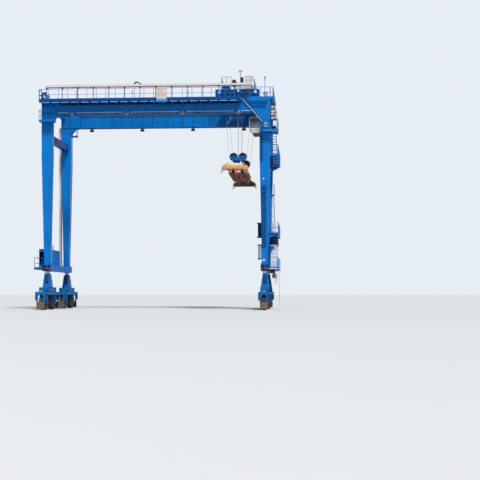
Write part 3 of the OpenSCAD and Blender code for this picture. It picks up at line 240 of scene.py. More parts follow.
def spread(a, b, n):
    return [a + (b - a) * i / (n - 1) for i in range(n)]


def about(middle, half):
    return (middle - half, middle + half)


def both_sides(half):
    """A turned profile that is the same on both sides, from the half with its distances below 0."""
    return half + [(r, -h) for r, h in reversed(half)]


class Piece:
    """Collects boxes, tubes and turned shapes in the shared frame, and makes them one object on one body."""

    def __init__(self, name, body, slot):
        self.name, self.body, self.slot = name, body, slot
        self.verts, self.faces, self.mats, self.index, self.smooth = [], [], [], [], []

    def number(self, mat):
        """A material's number in this piece's own list."""
        if mat not in self.mats:
            self.mats.append(mat)
        return self.mats.index(mat)

    def add(self, verts, faces, mat, smooth=False):
        base = len(self.verts)
        self.verts += [tuple(v) for v in verts]
        self.faces += [[base + i for i in f] for f in faces]
        self.index += [self.number(mat)] * len(faces)
        self.smooth += [smooth] * len(faces)

    def box(self, x, y, z, mat):
        x, y, z = sorted(x), sorted(y), sorted(z)
        v = [(a, b, c) for a in x for b in y for c in z]
        self.add(v, [(0, 1, 3, 2), (4, 6, 7, 5), (0, 4, 5, 1), (2, 3, 7, 6), (0, 2, 6, 4), (1, 5, 7, 3)], mat)

    def block(self, at, size, mat):
        """A box by its middle and its three sizes."""
        self.box(*[about(c, s / 2) for c, s in zip(at, size)], mat)

    def prism(self, outline, axis, a, b, mat):
        """An outline in the two other axes, in X Y Z order, drawn along axis from a to b."""
        n = len(outline)

        def place(p, h):
            q = list(p)
            q.insert("xyz".index(axis), h)
            return q

        v = [place(p, a) for p in outline] + [place(p, b) for p in outline]
        f = [tuple(range(n))[::-1], tuple(range(n, 2 * n))]
        f += [(i, (i + 1) % n, n + (i + 1) % n, n + i) for i in range(n)]
        self.add(v, f, mat)

    def tube(self, pts, r, n, mat):
        """A round tube along the points, mitred at its corners."""
        pts = [Vector(p) for p in pts]
        up = None
        rings = []
        for i, p in enumerate(pts):
            before = (p - pts[i - 1]).normalized() if i else None
            after = (pts[i + 1] - p).normalized() if i + 1 < len(pts) else None
            along = ((before or after) + (after or before)).normalized()
            if up is None:
                seed = Vector((0, 0, 1)) if abs(along.z) < 0.9 else Vector((1, 0, 0))
                up = along.cross(seed).normalized()
            up = (up - along * up.dot(along)).normalized()
            side = along.cross(up)
            stretch = 1.0
            if before and after:
                stretch = 1.0 / max(0.4, before.dot(along))
            bend = (after - before) if before and after and (after - before).length > 1e-6 else None
            ring = []
            for c, s in circle(n, r):
                off = up * c + side * s
                if bend:
                    k = bend.normalized()
                    off += k * off.dot(k) * (stretch - 1)
                ring.append(p + off)
            rings.append(ring)
        v = [q for ring in rings for q in ring]
        f = []
        for i in range(len(rings) - 1):
            for j in range(n):
                k = (j + 1) % n
                f.append((i * n + j, i * n + k, (i + 1) * n + k, (i + 1) * n + j))
        self.add(v, f, mat, True)
        self.add(v[:n], [tuple(range(n))[::-1]], mat)
        self.add(v[-n:], [tuple(range(n))], mat)

    def turned(self, profile, at, axis, n, mat, closed=False, smooth=True):
        """A profile of (radius, distance along axis) turned round the axis through at, with one material
        or a list of one for each step."""
        axis = Vector(axis).normalized()
        seed = Vector((0, 0, 1)) if abs(axis.z) < 0.9 else Vector((1, 0, 0))
        u = axis.cross(seed).normalized()
        w = axis.cross(u)
        at = Vector(at)
        rows = len(profile)
        base = len(self.verts)
        self.verts += [tuple(at + axis * h + u * (r * c) + w * (r * s)) for r, h in profile
                       for c, s in circle(n)]
        for i in range(rows if closed else rows - 1):
            step = ((i + 1) % rows - i) * n
            for j in range(n):
                a, b = base + i * n + j, base + i * n + (j + 1) % n
                self.faces.append([a, b, b + step, a + step])
            self.index += [self.number(mat[i] if isinstance(mat, list) else mat)] * n
            self.smooth += [smooth] * n

    def ring(self, at, axis, radii, ends, n, mat, smooth=False):
        """A ring between two radii and two distances along the axis."""
        (r0, r1), (h0, h1) = radii, ends
        self.turned([(r0, h0), (r1, h0), (r1, h1), (r0, h1)], at, axis, n, mat, True, smooth)

    def can(self, at, axis, r, length, n, mat, edge=0.0):
        """A closed cylinder from at along axis, with small chamfers."""
        inner = r - edge
        self.turned([(0, 0), (inner, 0), (r, edge), (r, length - edge), (inner, length), (0, length)], at,
                    axis, n, mat, smooth=False)

    def bolts(self, places, axis, r, h, mat):
        """Six-sided bolt heads that stand out along axis."""
        for at in places:
            self.turned([(0, h), (r, h), (r, 0)], at, axis, 6, mat, smooth=False)

    def done(self, bevel=0.0, replaces=()):
        mesh = bpy.data.meshes.new(self.name)
        mesh.from_pydata(self.verts, [], self.faces)
        for m in self.mats:
            mesh.materials.append(m)
        mesh.polygons.foreach_set("material_index", self.index)
        mesh.polygons.foreach_set("use_smooth", self.smooth)
        bm = bmesh.new()
        bm.from_mesh(mesh)
        bmesh.ops.dissolve_degenerate(bm, edges=bm.edges, dist=1e-7)
        bmesh.ops.recalc_face_normals(bm, faces=bm.faces)
        bm.to_mesh(mesh)
        bm.free()
        o = bpy.data.objects.new(self.name, mesh)
        bpy.context.scene.collection.objects.link(o)
        if bevel:
            soften(o, bevel)
        if replaces:
            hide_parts(*([replaces] if isinstance(replaces, str) else replaces))
        if self.body:
            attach(o, self.body)
        return o


def soften(o, width):
    mod = o.modifiers.new("edges", "BEVEL")
    mod.width = width
    mod.segments = 1
    mod.limit_method = "ANGLE"
    mod.angle_limit = math.radians(50)


def dress(material, *names, bevel=0.0):
    """Gives CAD nodes a material, and soft edges."""
    for name in names:
        o = NODES[name]
        o.data.materials.clear()
        o.data.materials.append(material)
        if bevel:
            soften(o, bevel)


def guard(p, a, b, z, bays, h=1.15, kick=BLUE):
    """A blue guard rail of round tubes from a to b (X, Y): posts, top and middle rails and a kick plate."""
    (ax, ay), (bx, by) = a, b
    length = math.hypot(bx - ax, by - ay)
    ux, uy = (bx - ax) / length, (by - ay) / length
    for i in range(bays + 1):
        t = RAIL_R + (length - 2 * RAIL_R) * i / bays
        x, y = ax + ux * t, ay + uy * t
        p.tube([(x, y, z), (x, y, z + h - RAIL_R)], RAIL_R * 0.92, 8, BLUE)
        p.block((x, y, z + 0.006), (0.09, 0.09, 0.012), BLUE)
    for top in (h - RAIL_R, h / 2 - RAIL_R):
        p.tube([(ax, ay, z + top), (bx, by, z + top)], RAIL_R * (1.0 if top > h / 2 else 0.8), 8, BLUE)
    nx, ny = -uy * 0.004, ux * 0.004
    p.prism([(ax - nx, ay - ny), (bx - nx, by - ny), (bx + nx, by + ny), (ax + nx, ay + ny)], "z", z + 0.01,
            z + 0.13, kick)


# Portal: the CAD solids carry the paint, and these pieces add what is fixed to them

# The front girder takes the darker blue, painted shade; the rear girder keeps the plain blue
dress(SHADED_WEB, "front_girder", bevel=0.012)
dress(BLUE, "rear_girder", "front_left_leg", "rear_left_leg", "front_right_leg", "rear_right_leg",
      "sill_beams", "walkways", "end_platforms", "leg_platforms", bevel=0.012)
dress(DEEP, "tie_beams", bevel=0.012)
dress(WHITE, "slewing_rings", bevel=0.01)
dress(STEEL, "trolley_rails", bevel=0.006)


def slope_x(z):
    """Sloping edge of the right legs' heads."""
    return OUT - 0.85 - 2.25 * (z - HEAD_Z) / (GT - HEAD_Z)


def leg_half(z):
    """Half of a leg's width along X at a height."""
    return (0.58 + 0.55 * min(1.0, (z - FOOT_Z) / (FULL_Z - FOOT_Z))) / 2


# Lengths of the pipe along each girder's outer web
OUTER_RUNS = ((-10.5, -9.3), (-8.5, -3.35), (-2.6, 2.6), (3.35, 8.5), (9.3, 10.2))
p = Piece("girder_fittings", "gantry", "blue_paint")
for s in (-1, 1):
    for side in (-1, 1):
        face = s * HG + side * WEB_Y
        # Plates and covers on the front girder take its painted shade blue
        web_paint_or_shade = SHADED_WEB if s < 0 else BLUE
        # Splice plates with bolts, seams and a long pipe in clamps
        for x in (-5.95, 0.02, 5.95):
            p.block((x, face + side * 0.008, 21.72), (0.56, 0.016, 1.30), web_paint_or_shade)
            p.bolts([(x + dx, face + side * 0.016, z) for dx in (-0.22, -0.1, 0.1, 0.22)
                     for z in spread(21.2, 22.25, 8)], (0, side, 0), 0.02, 0.016, DEEP)
        for x in spread(-11.2, 9.2, 18):
            if side * s < 0:
                p.block((x, face + side * 0.02, 21.7), (0.016, 0.04, 1.40), DEEP)
            else:
                p.block((x, face + side * 0.03, 21.06), (0.014, 0.05, 0.22), BLUE)
        outer = side * s > 0
        for x0, x1 in OUTER_RUNS if outer else ((-10.2, 9.9),):
            y = face + side * (0.10 if outer else 0.055)
            z = 21.10 if outer else 22.2
            p.tube([(x0, y, z), (x1, y, z)], 0.046 if outer else 0.02, 8, ICE if outer else DARK)
            for x in spread(x0 + 0.2, x1 - 0.2, max(2, int((x1 - x0) / 0.9))):
                p.block((x, face + side * 0.05, z), (0.05, 0.11, 0.075), GALV if outer else DEEP)
        # A navy strip along the outer web just under the walkway, painted shade of the walkway, and
        # inspection covers
        if outer:
            p.box((-10.4, 9.0), (face, face + side * 0.05), (21.94, 22.13), NAVY)
        for x in (-8.2, 3.9):
            p.block((x, face + side * 0.01, 21.65), (0.5, 0.02, 0.50), web_paint_or_shade)
            p.bolts([(x + dx, face + side * 0.02, 21.65 + dz) for dx in (-0.21, 0.21)
                     for dz in (-0.21, 0, 0.21)], (0, side, 0), 0.014, 0.012, DEEP)
    # Lower flange: a painted highlight along its edge in pale blue lengths, and painted shade on its
    # underside as a navy sheet
    for x in spread(-9.6, 7.9, 9):
        p.block((x, s * (HG + 0.378), 20.93), (1.7, 0.006, 0.03), SKY)
    p.box((-10.9, 10.6), about(s * HG, 0.36), (20.894, 20.9), NAVY)
    # Rungs on the web that faces the other girder
    for dx in (-0.24, 0.24):
        p.tube([(5.2 + dx, s * (HG - 0.42), 20.95), (5.2 + dx, s * (HG - 0.42), 22.45)], 0.02, 6, BLUE)
    for z in spread(21.05, 22.35, 6):
        p.tube([(4.96, s * (HG - 0.42), z), (5.44, s * (HG - 0.42), z)], 0.014, 6, BLUE)
        for dx in (-0.24, 0.24):
            p.tube([(5.2 + dx, s * (HG - 0.42), z), (5.2 + dx, s * (HG - WEB_Y), z)], 0.012, 6, BLUE)
    # Rail clips along both sides of the trolley rail
    for x in spread(-12.0, 12.0, 41):
        for side in (-1, 1):
            p.block((x, s * HG + side * 0.075, GT + 0.018), (0.12, 0.07, 0.036), DARK)
# Pale stay and drop cables on the rear girder's web
p.tube([(7.05, 2.83, 21.2), (7.55, 2.83, 21.8)], 0.045, 8, GALV)
for x in (7.35, 8.1, 8.45, 8.9):
    p.tube([(x, 2.85, 22.4), (x + 0.08, 2.84, 21.75)], 0.016, 6, GALV)
p.done()

p = Piece("leg_fittings", "gantry", "blue_paint")
for s in (-1, 1):
    for t in (-1, 1):
        x, y = t * HS, s * HG
        # Foot flange bolts, base ribs and the ring's bolts
        for dx in (-0.36, 0.36):
            for dy in spread(-0.36, 0.36, 5):
                p.bolts([(x + dx, y + dy, FOOT_Z)], (0, 0, 1), 0.026, 0.03, DARK)
        for k in (-1, 1):
            p.prism([(x + k * 0.29, FOOT_Z), (x + k * 0.44, FOOT_Z), (x + k * 0.30, 5.25)], "y",
                    *about(y, 0.02), BLUE)
        p.bolts([(x + a, y + b, 3.99) for a, b in circle(20, 0.205)], (0, 0, 1), 0.016, 0.02, DARK)
        p.ring((x, y, 0), (0, 0, 1), (0.242, 0.30), (4.12, 4.15), 32, BLUE, smooth=True)
        # Field splices across the leg, with seam lines on each face
        for z in (10.6, 16.4):
            h = leg_half(z)
            for side in (-1, 1):
                p.block((x, y + side * 0.326, z), (2 * h + 0.05, 0.012, 0.05), BLUE)
                p.block((x + side * (h + 0.006), y, z), (0.016, 0.66, 0.05), BLUE)
        # Manhole cover with bolts on the outer face
        z = 7.4 if t < 0 else 18.2
        p.can((x, y + s * 0.32, z), (0, s, 0), 0.21, 0.022, 24, BLUE)
        p.bolts([(x + a, y + s * 0.342, z + b) for a, b in circle(12, 0.18)], (0, s, 0), 0.013, 0.01, DEEP)
        # Thin conduit up the inner side
        xi = x - t * (leg_half(5.4) + 0.02)
        xt = x - t * (leg_half(16.4) + 0.02)
        p.tube([(xi, y - s * 0.2, 4.9), (xt, y - s * 0.2, 16.4), (xt, y - s * 0.2, 19.8)], 0.018, 6, GALV)
    # Edge plate along the slope of the right heads, its pale strip a painted highlight of the lit edge, with
    # ribs behind it
    y = s * 3.645
    for a, b, m in ((0.0, 0.055, GALV), (0.055, 0.17, DEEP)):
        p.prism([(slope_x(19.95) + a, 19.95), (slope_x(22.48) + a, 22.48), (slope_x(22.48) + b, 22.48),
                 (slope_x(19.95) + b, 19.95)], "y", y - s * 0.02, y + s * 0.008, m)
    for z in (21.62, 22.02):
        p.box((slope_x(z) + 0.25, 12.0 - 0.35 * (22.02 - z)), (y - s * 0.02, y + s * 0.05), about(z, 0.045),
              DEEP)
    # Ribs on the head's outer side
    for z in (20.6, 21.2):
        p.block((12.305, s * HG, z), (0.02, 0.60, 0.035), BLUE)
# Cable rack up the near right leg's front, with light rungs
for dx in (-0.34, 0.10):
    p.box((HS + dx - 0.016, HS + dx + 0.016), (-3.575, -3.52), (6.6, 13.2), DEEP)
p.box((HS - 0.34, HS + 0.10), (-3.528, -3.522), (6.6, 13.2), DEEP)
for z in spread(6.7, 13.1, 24):
    p.box((HS - 0.34, HS + 0.10), (-3.565, -3.545), about(z, 0.035), BLUE)
for dx in (-0.26, 0.02):
    p.tube([(HS + dx, -3.54, 6.6), (HS + dx, -3.54, 13.15)], 0.018, 6, DARK)
# Cable bundles, boxes and brackets round the near sill ends
for t in (-1, 1):
    x = t * HS
    p.box(about(x, 0.44), (-3.662, -3.65), (4.16, 4.80), NAVY)
    p.box((x - 0.40, x - 0.12), (-3.74, -3.662), (4.20, 4.60), DARK)
    p.box((x - 0.06, x + 0.16), (-3.73, -3.662), (4.48, 4.78), DEEP)
    p.box((x + 0.22, x + 0.42), (-3.74, -3.662), (4.30, 4.46), RUSTY)
    p.box((x - 0.02, x + 0.10), (-3.735, -3.73), (4.30, 4.42), GALV)
    p.tube([(x - 0.42, -3.70, 4.90), (x - 0.25, -3.76, 4.66), (x + 0.05, -3.76, 4.32),
            (x + 0.38, -3.72, 4.22)], 0.03, 8, DARK)
    p.tube([(x - 0.38, -3.72, 4.18), (x - 0.10, -3.76, 4.42), (x + 0.34, -3.74, 4.60)], 0.022, 8, RUSTY)
# Cable ladder up the near right leg under the top landing, on a deep blue back plate that is painted shade of
# the landing
p.box((11.20, 11.48), (-3.532, -3.526), (15.7, 18.9), DEEP)
for z in spread(15.8, 18.8, 11):
    p.box((11.20, 11.48), (-3.56, -3.54), about(z, 0.035), BLUE)
for x in (11.20, 11.48):
    p.box(about(x, 0.014), (-3.575, -3.526), (15.7, 18.9), NAVY)
# Boxes, a hose reel and hanging cables under the right deck
p.box((12.32, 12.80), (-3.30, -2.70), (3.88, 4.30), NAVY)
p.box((12.38, 12.74), (-3.32, -3.30), (3.94, 4.22), DARK)
p.turned([(0, -0.05), (0.27, -0.05), (0.27, -0.03), (0.14, -0.03), (0.14, 0.03), (0.27, 0.03), (0.27, 0.05),
          (0, 0.05)], (12.72, -3.10, 3.60), (0, 1, 0), 28, RUSTY, smooth=False)
p.box((12.66, 12.78), (-3.04, -3.0), (3.55, 4.3), NAVY)
for i, (x, low) in enumerate(((12.78, 2.70), (12.92, 2.95), (13.0, 2.62))):
    p.tube([(x, -3.2, 4.32), (x + 0.05, -3.2, 3.4), (x + 0.02, -3.1, low + 0.1), (x, -2.95, low),
            (x - 0.02, -2.8, low + 0.15), (x, -2.7, 3.5), (x, -2.7, 4.32)], 0.018, 8, GALV)
p.box((12.20, 13.10), (-3.508, -3.50), (4.33, 4.42), GALV)
# Painted highlight along the edge of the top landing
p.box((11.54, 13.10), (-4.066, -4.06), (18.84, 18.93), SKY)
# Small white plates on the near right leg's front
p.block((HS - 0.14, -3.53, 13.9), (0.16, 0.02, 0.13), WHITE)
p.block((HS - 0.10, -3.53, 5.30), (0.16, 0.02, 0.20), WHITE)
# Ribs under the tie beams' ends and bolted joints
for t in (-1, 1):
    for s in (-1, 1):
        p.prism([(s * 2.88, 17.75), (s * 2.88, 18.2), (s * 2.45, 18.2)], "x", *about(t * HS, 0.02), BLUE)
        p.block((t * HS, s * 2.82, 18.575), (0.60, 0.03, 0.80), BLUE)
        for dx in (0.24, -0.24):
            p.bolts([(t * (HS + dx), s * 2.83, z) for z in spread(18.28, 18.88, 5)], (0, -s, 0), 0.02, 0.03,
                    DARK)
p.done()


# Walkways

p = Piece("walkway_round_rails", "gantry", "blue_paint")
for s in (-1, 1):
    y = s * 4.236
    # The walkway's kick plates are deep blue: painted shade
    guard(p, (-OUT, y), (WALK_END, y), DECK, 21, kick=DEEP)
    guard(p, (-OUT + RAIL_R, s * 3.58), (-OUT + RAIL_R, y), DECK, 1)
    guard(p, (9.26, s * 3.546), (OUT - 0.02, s * 3.546), GT, 3)
p.done(replaces="walkway_handrails")

p = Piece("walkway_underside", "gantry", "blue_paint")
for s in (-1, 1):
    y0, y1 = s * IN_Y, s * OUT_Y
    p.box((-OUT + 0.02, WALK_END - 0.02), (s * 3.60, s * 4.26), (DECK, DECK + 0.006), GRATE)
    # A deep blue sheet over the walkway's outer side: painted shade
    p.box((-OUT, WALK_END), (y1, y1 + s * 0.004), (DECK - 0.195, DECK + 0.01), DEEP)
    # Lower edge rail on drop posts, with pale lengths on its face between the posts: a painted highlight
    for x in spread(-OUT + 0.05, WALK_END - 0.05, 21):
        p.block((x, s * 4.30, DECK - 0.17), (0.05, 0.04, 0.34), BLUE)
    p.box((-OUT, WALK_END), (s * 4.285, s * 4.325), (DECK - 0.33, DECK - 0.30), DEEP)
    for x in spread(-OUT + 0.3, WALK_END - 1.1, 20):
        p.box((x, x + 0.78), (s * 4.327, s * 4.331), (DECK - 0.34, DECK - 0.28), ICE)
    for x in spread(-12.1, 9.05, 22):
        p.prism([(y0, DECK - 0.62), (y0, DECK - 0.04), (s * 4.27, DECK - 0.04), (s * 4.27, DECK - 0.14)],
                "x", *about(x, 0.006), DEEP)
        p.prism([(y0, DECK - 0.62), (y0 + s * 0.03, DECK - 0.64), (s * 4.27, DECK - 0.16),
                 (s * 4.27, DECK - 0.14)], "x", *about(x, 0.04), BLUE)
    p.box((-OUT + 0.1, WALK_END - 0.1), (s * 3.9, s * 3.96), (DECK - 0.12, DECK - 0.04), DEEP)
p.done()

p = Piece("balcony_round_rails", "gantry", "blue_paint")
for t in (-1, 1):
    x = t * 12.596
    guard(p, (x, -3.53), (x, 3.53), GT, 6)
    for s in (-1, 1):
        guard(p, (t * OUT, s * 3.506), (x, s * 3.506), GT, 1)
    p.box((t * 12.31, t * 12.61), (-3.5, 3.5), (GT, GT + 0.005), GRATE)
p.tube([(HS, -3.48, GT), (HS, -3.48, GT + 2.0)], 0.03, 8, BLUE)
p.tube([(HS - 0.12, -3.48, GT + 1.98), (HS + 0.12, -3.48, GT + 1.98)], 0.012, 6, BLUE)
p.tube([(HS, -3.48, GT + 2.0), (HS, -3.48, GT + 2.25)], 0.01, 6, GALV)
for k in range(3):
    a = k * 2 * math.pi / 3
    hub = Vector((HS, -3.48, GT + 2.22))
    cup = hub + Vector((0.07 * math.cos(a), 0.07 * math.sin(a), 0))
    p.tube([hub, cup], 0.005, 6, DARK)
    p.turned([(0, 0), (0.03, 0.01), (0.035, 0.035)], cup, (-math.sin(a), math.cos(a), 0), 10, DARK)
p.block((HS, -3.48, GT + 2.10), (0.10, 0.08, 0.14), DARK)
p.done(replaces="end_handrails")

TRAY_Y0, TRAY_Y1 = -4.43, -4.01
p = Piece("tray_trough", "gantry", "galvanised")
x0, x1 = -11.5, 10.44
p.box((x0, x1), (TRAY_Y0, TRAY_Y0 + 0.012), (TRAY_Z, TRAY_Z + 0.21), TRAY)
p.box((x0, x1), (TRAY_Y1 - 0.012, TRAY_Y1), (TRAY_Z, TRAY_Z + 0.21), TRAY)
p.box((x0, x1), (TRAY_Y0, TRAY_Y1), (TRAY_Z, TRAY_Z + 0.012), TRAY)
for y in (TRAY_Y0, TRAY_Y1):
    inside = 0.022 if y == TRAY_Y0 else -0.022
    p.box((x0, x1), (y, y + inside), (TRAY_Z + 0.20, TRAY_Z + 0.21), TRAY)
x = x0
while x < x1:
    p.box((x, x + 0.05), (TRAY_Y0 - 0.006, TRAY_Y1 + 0.006), (TRAY_Z - 0.006, TRAY_Z + 0.02), TRAY)
    p.box((x, x + 0.05), (TRAY_Y0 - 0.008, TRAY_Y0), (TRAY_Z, TRAY_Z + 0.21), TRAY)
    p.box((x + 0.052, x + 0.066), (TRAY_Y0 - 0.003, TRAY_Y0 + 0.001), (TRAY_Z, TRAY_Z + 0.205), DARK)
    x += 1.97
# Dark rubber knobs and brackets under the trough, and its posts
for x in spread(x0 + 0.035, x0 + 12 * 1.67 + 0.035, 13):
    p.box(about(x, 0.035), (-4.33, -4.26), (DECK, TRAY_Z - 0.01), BLUE)
    p.box(about(x, 0.05), (TRAY_Y0, TRAY_Y1), (TRAY_Z - 0.05, TRAY_Z), DARK)
    p.block((x, -4.38, TRAY_Z - 0.045), (0.10, 0.08, 0.09), DARK)
    p.prism([(-4.26, TRAY_Z - 0.28), (-4.26, TRAY_Z - 0.05), (-4.03, TRAY_Z - 0.05)], "x", *about(x, 0.005),
            BLUE)
for x in spread(x0 + 0.6, x1 - 0.4, 26):
    p.block((x, TRAY_Y0 + 0.02, TRAY_Z - 0.018), (0.07, 0.05, 0.04), DARK)
p.done(replaces="cable_tray")

# The cable chain: straight runs in the trough and a loop of links that stands out of it
p = Piece("chain_links", "gantry", "chain_plastic")
way = [(-11.46, TRAY_Z + 0.065)]
left, length = -1.41 - 0.73, 1.46
way += [(left + length * (t / 360) ** 2.2, TRAY_Z + 0.065 + 0.43 * math.sin(math.radians(t / 2)) ** 2)
        for t in range(0, 361, 12)]
way.append((10.40, TRAY_Z + 0.065))
links = []
for (ax, az), (bx, bz) in zip(way, way[1:]):
    size = math.hypot(bx - ax, bz - az)
    count = max(1, round(size / 0.11))
    for i in range(count):
        links.append((ax + (bx - ax) * i / count, az + (bz - az) * i / count, bx - ax, bz - az, size / count))
for x, z, dx, dz, step in links:
    d = math.hypot(dx, dz)
    ux, uz = dx / d * step * 0.86, dz / d * step * 0.86
    nx, nz = -dz / d * 0.04, dx / d * 0.04
    p.prism([(x - nx, z - nz), (x + ux - nx, z + uz - nz), (x + ux + nx, z + uz + nz), (x + nx, z + nz)],
            "y", -4.33, -4.11, BLACK)
p.done(replaces="cable_chain")

p = Piece("left_end_gear", "gantry", "dark_steel")
p.box((-12.12, -11.86), (-4.12, -3.92), (DECK, 22.62), NAVY)
p.box((-12.06, -11.92), (-4.06, -3.98), (22.62, 23.22), NAVY)
p.box((-12.20, -11.62), (-4.04, -3.98), (22.86, 22.98), DARK)
p.can((-11.74, -4.06, 23.10), (0, 1, 0), 0.13, 0.10, 20, DARK, 0.01)
p.tube([(-11.99, -4.0, 23.2), (-11.80, -4.0, 23.12), (-11.55, -4.02, 23.14)], 0.03, 8, NAVY)
p.box((-11.66, -11.56), (-4.06, -3.96), (23.08, 23.20), DARK)
for z in (22.72, 23.05):
    p.box((-12.14, -11.84), (-4.02, -3.96), (z, z + 0.03), DEEP)
p.done(bevel=0.003)

p = Piece("walkway_cabinet_doors", "gantry", "beige_paint")
cx0, cx1 = 0.40, 1.42
p.box((cx0, cx1), (-4.33, -4.89), (21.90, 22.17), SKY)
p.box((cx0, cx1), (-4.33, -4.89), (22.17, 22.44), BEIGE)
p.box((cx0 + 0.04, cx1 - 0.04), (-4.89, -4.896), (21.93, 22.14), SKY)
p.box((cx0 + 0.005, cx1 - 0.005), (-4.395, -4.87), (22.45, 23.24), BEIGE)
p.box((cx0, cx1), (-4.39, -4.89), (23.24, 23.30), BEIGE)
for k in (0, 1):
    a = cx0 + 0.03 + k * 0.485
    p.box((a, a + 0.475), (-4.87, -4.885), (22.49, 23.21), BEIGE)
    p.box((a + 0.05, a + 0.425), (-4.885, -4.887), (22.56, 22.70), BEIGE)
    for z in spread(22.58, 22.69, 5):
        p.box((a + 0.06, a + 0.415), (-4.885, -4.889), (z, z + 0.008), DARK)
    p.block((a + (0.42 if k == 0 else 0.055), -4.888, 22.88), (0.02, 0.004, 0.12), DARK)
for z in (22.46, 22.43):
    p.box((cx0, cx1), (-4.33, -4.89), (z, z + 0.012), GALV)
p.done(bevel=0.004, replaces="walkway_cabinet")

p = Piece("lamp_bodies", "gantry", "galvanised")
for s in (-1, 1):
    for i in (-1.5, -0.5, 0.5, 1.5):
        x = i * 5.95
        # Round dish on the girder's lower flange, with a box lamp at the rear
        y = s * 3.575
        if s > 0:
            p.box(about(x, 0.22), (3.59, 3.83), (20.62, 20.80), DARK)
            p.box(about(x, 0.19), (3.62, 3.80), (20.61, 20.62), LENS)
            p.box(about(x, 0.03), (3.585, 3.72), (20.80, 20.98), DARK)
        p.turned([(0, 0), (0.07, 0), (0.09, 0.03), (0.17, 0.09), (0.19, 0.12), (0.19, 0.155),
                  (0.175, 0.155)], (x, y, 20.925), (0, s, 0), 28, WHITE)
        p.turned([(0, 0.150), (0.175, 0.150)], (x, y, 20.925), (0, s, 0), 28, DARK)
        p.turned([(0.05, 0.151), (0.06, 0.158), (0.075, 0.151)], (x, y, 20.925), (0, s, 0), 20, GALV)
        # Floodlight under the deck, in a yoke
        p.box(about(x, 0.235), (s * 3.67, s * 4.01), (22.02, 22.24), DARK)
        p.box(about(x, 0.20), (s * 3.70, s * 3.98), (22.0, 22.02), LENS)
        p.box(about(x, 0.24), (s * 3.665, s * 4.015), (21.992, 22.012), DARK)
        for dx in (-0.238, 0.238):
            p.box((x + dx - 0.006, x + dx + 0.006), (s * 3.80, s * 3.88), (22.1, 22.31), GALV)
        for k in spread(-0.18, 0.18, 7):
            p.box((x + k - 0.006, x + k + 0.006), (s * 3.70, s * 3.98), (22.24, 22.285), DARK)
        # Lamp head on its post at the deck's edge
        q = min(x + 0.7, WALK_END - 0.23) + 0.024
        p.tube([(q, s * 4.354, 22.15), (q, s * 4.354, 22.90)], 0.022, 8, BLUE)
        p.tube([(q - 0.22, s * 4.10, 22.28), (q - 0.04, s * 4.40, 22.05), (q + 0.02, s * 4.36, 22.30)], 0.03,
               8, DARK)
        p.box(about(q, 0.105), (s * 4.35, s * 4.53), (22.92, 23.11), WHITE)
        p.box(about(q, 0.115), (s * 4.34, s * 4.55), (23.10, 23.13), DARK)
        p.box(about(q, 0.085), (s * 4.53, s * 4.538), (22.94, 23.09), LENS)
p.done(bevel=0.004, replaces="floodlights")


# Access at the legs

p = Piece("leg_round_rails", "gantry", "blue_paint")
for s in (-1, 1):
    y = s * (3.52 + 0.626)
    guard(p, (-12.39, y), (-10.71, y), LEG_DECK, 2)
    guard(p, (-12.366, s * 3.56), (-12.366, y), LEG_DECK, 1)
    guard(p, (-10.734, s * 3.56), (-10.734, y), LEG_DECK, 1)
    p.box((-12.38, -10.72), (s * 3.53, s * 4.16), (LEG_DECK, LEG_DECK + 0.005), GRATE)
RAIL_X = REACH - RAIL_R
guard(p, (RAIL_X, -3.3), (RAIL_X, 3.3), LANDING_1, 5)
guard(p, (12.15, 3.276), (RAIL_X, 3.276), LANDING_1, 1)
guard(p, (12.15, -3.276), (12.59, -3.276), LANDING_1, 1)
guard(p, (12.66, -2.88), (12.66, -1.78), LANDING_2, 1)
guard(p, (11.524, -2.84), (11.524, -1.78), LANDING_2, 1)
guard(p, (RAIL_X, -3.52), (RAIL_X, 3.52), LANDING_3, 6)
for s in (-1, 1):
    guard(p, (12.33, s * 3.496), (RAIL_X, s * 3.496), LANDING_3, 1)
guard(p, (12.324, -1.6), (12.324, 2.84), LANDING_3, 4)
guard(p, (RAIL_X, -4.036), (RAIL_X, -2.2), LANDING_4, 2)
guard(p, (11.535, -4.036), (RAIL_X, -4.036), LANDING_4, 2)
guard(p, (11.559, -4.036), (11.559, -3.66), LANDING_4, 1)
p.box((12.12, 13.12), (-3.28, 3.28), (LANDING_1, LANDING_1 + 0.005), GRATE)
p.box((11.52, 12.67), (-2.86, -1.79), (LANDING_2, LANDING_2 + 0.005), GRATE)
p.box((12.32, 13.12), (-3.5, 3.5), (LANDING_3, LANDING_3 + 0.005), GRATE)
p.box((12.32, 13.12), (-4.04, -2.22), (LANDING_4, LANDING_4 + 0.005), GRATE)
# Brackets under the landings
for z, y1, xa, flat in ((LANDING_1 - 0.08, 3.2, 12.1, False), (LANDING_3 - 0.08, 3.4, 12.3, True)):
    for y in spread(-y1, y1, 5):
        if abs(y) > 2.9:
            p.prism([(xa, z - 0.5), (xa, z), (13.1, z), (13.1, z - 0.06)], "y", *about(y, 0.02), BLUE)
        elif flat:
            p.prism([(xa, z - 0.08), (xa, z), (13.1, z), (13.1, z - 0.08)], "y", *about(y, 0.02), BLUE)
p.done(replaces="leg_handrails")

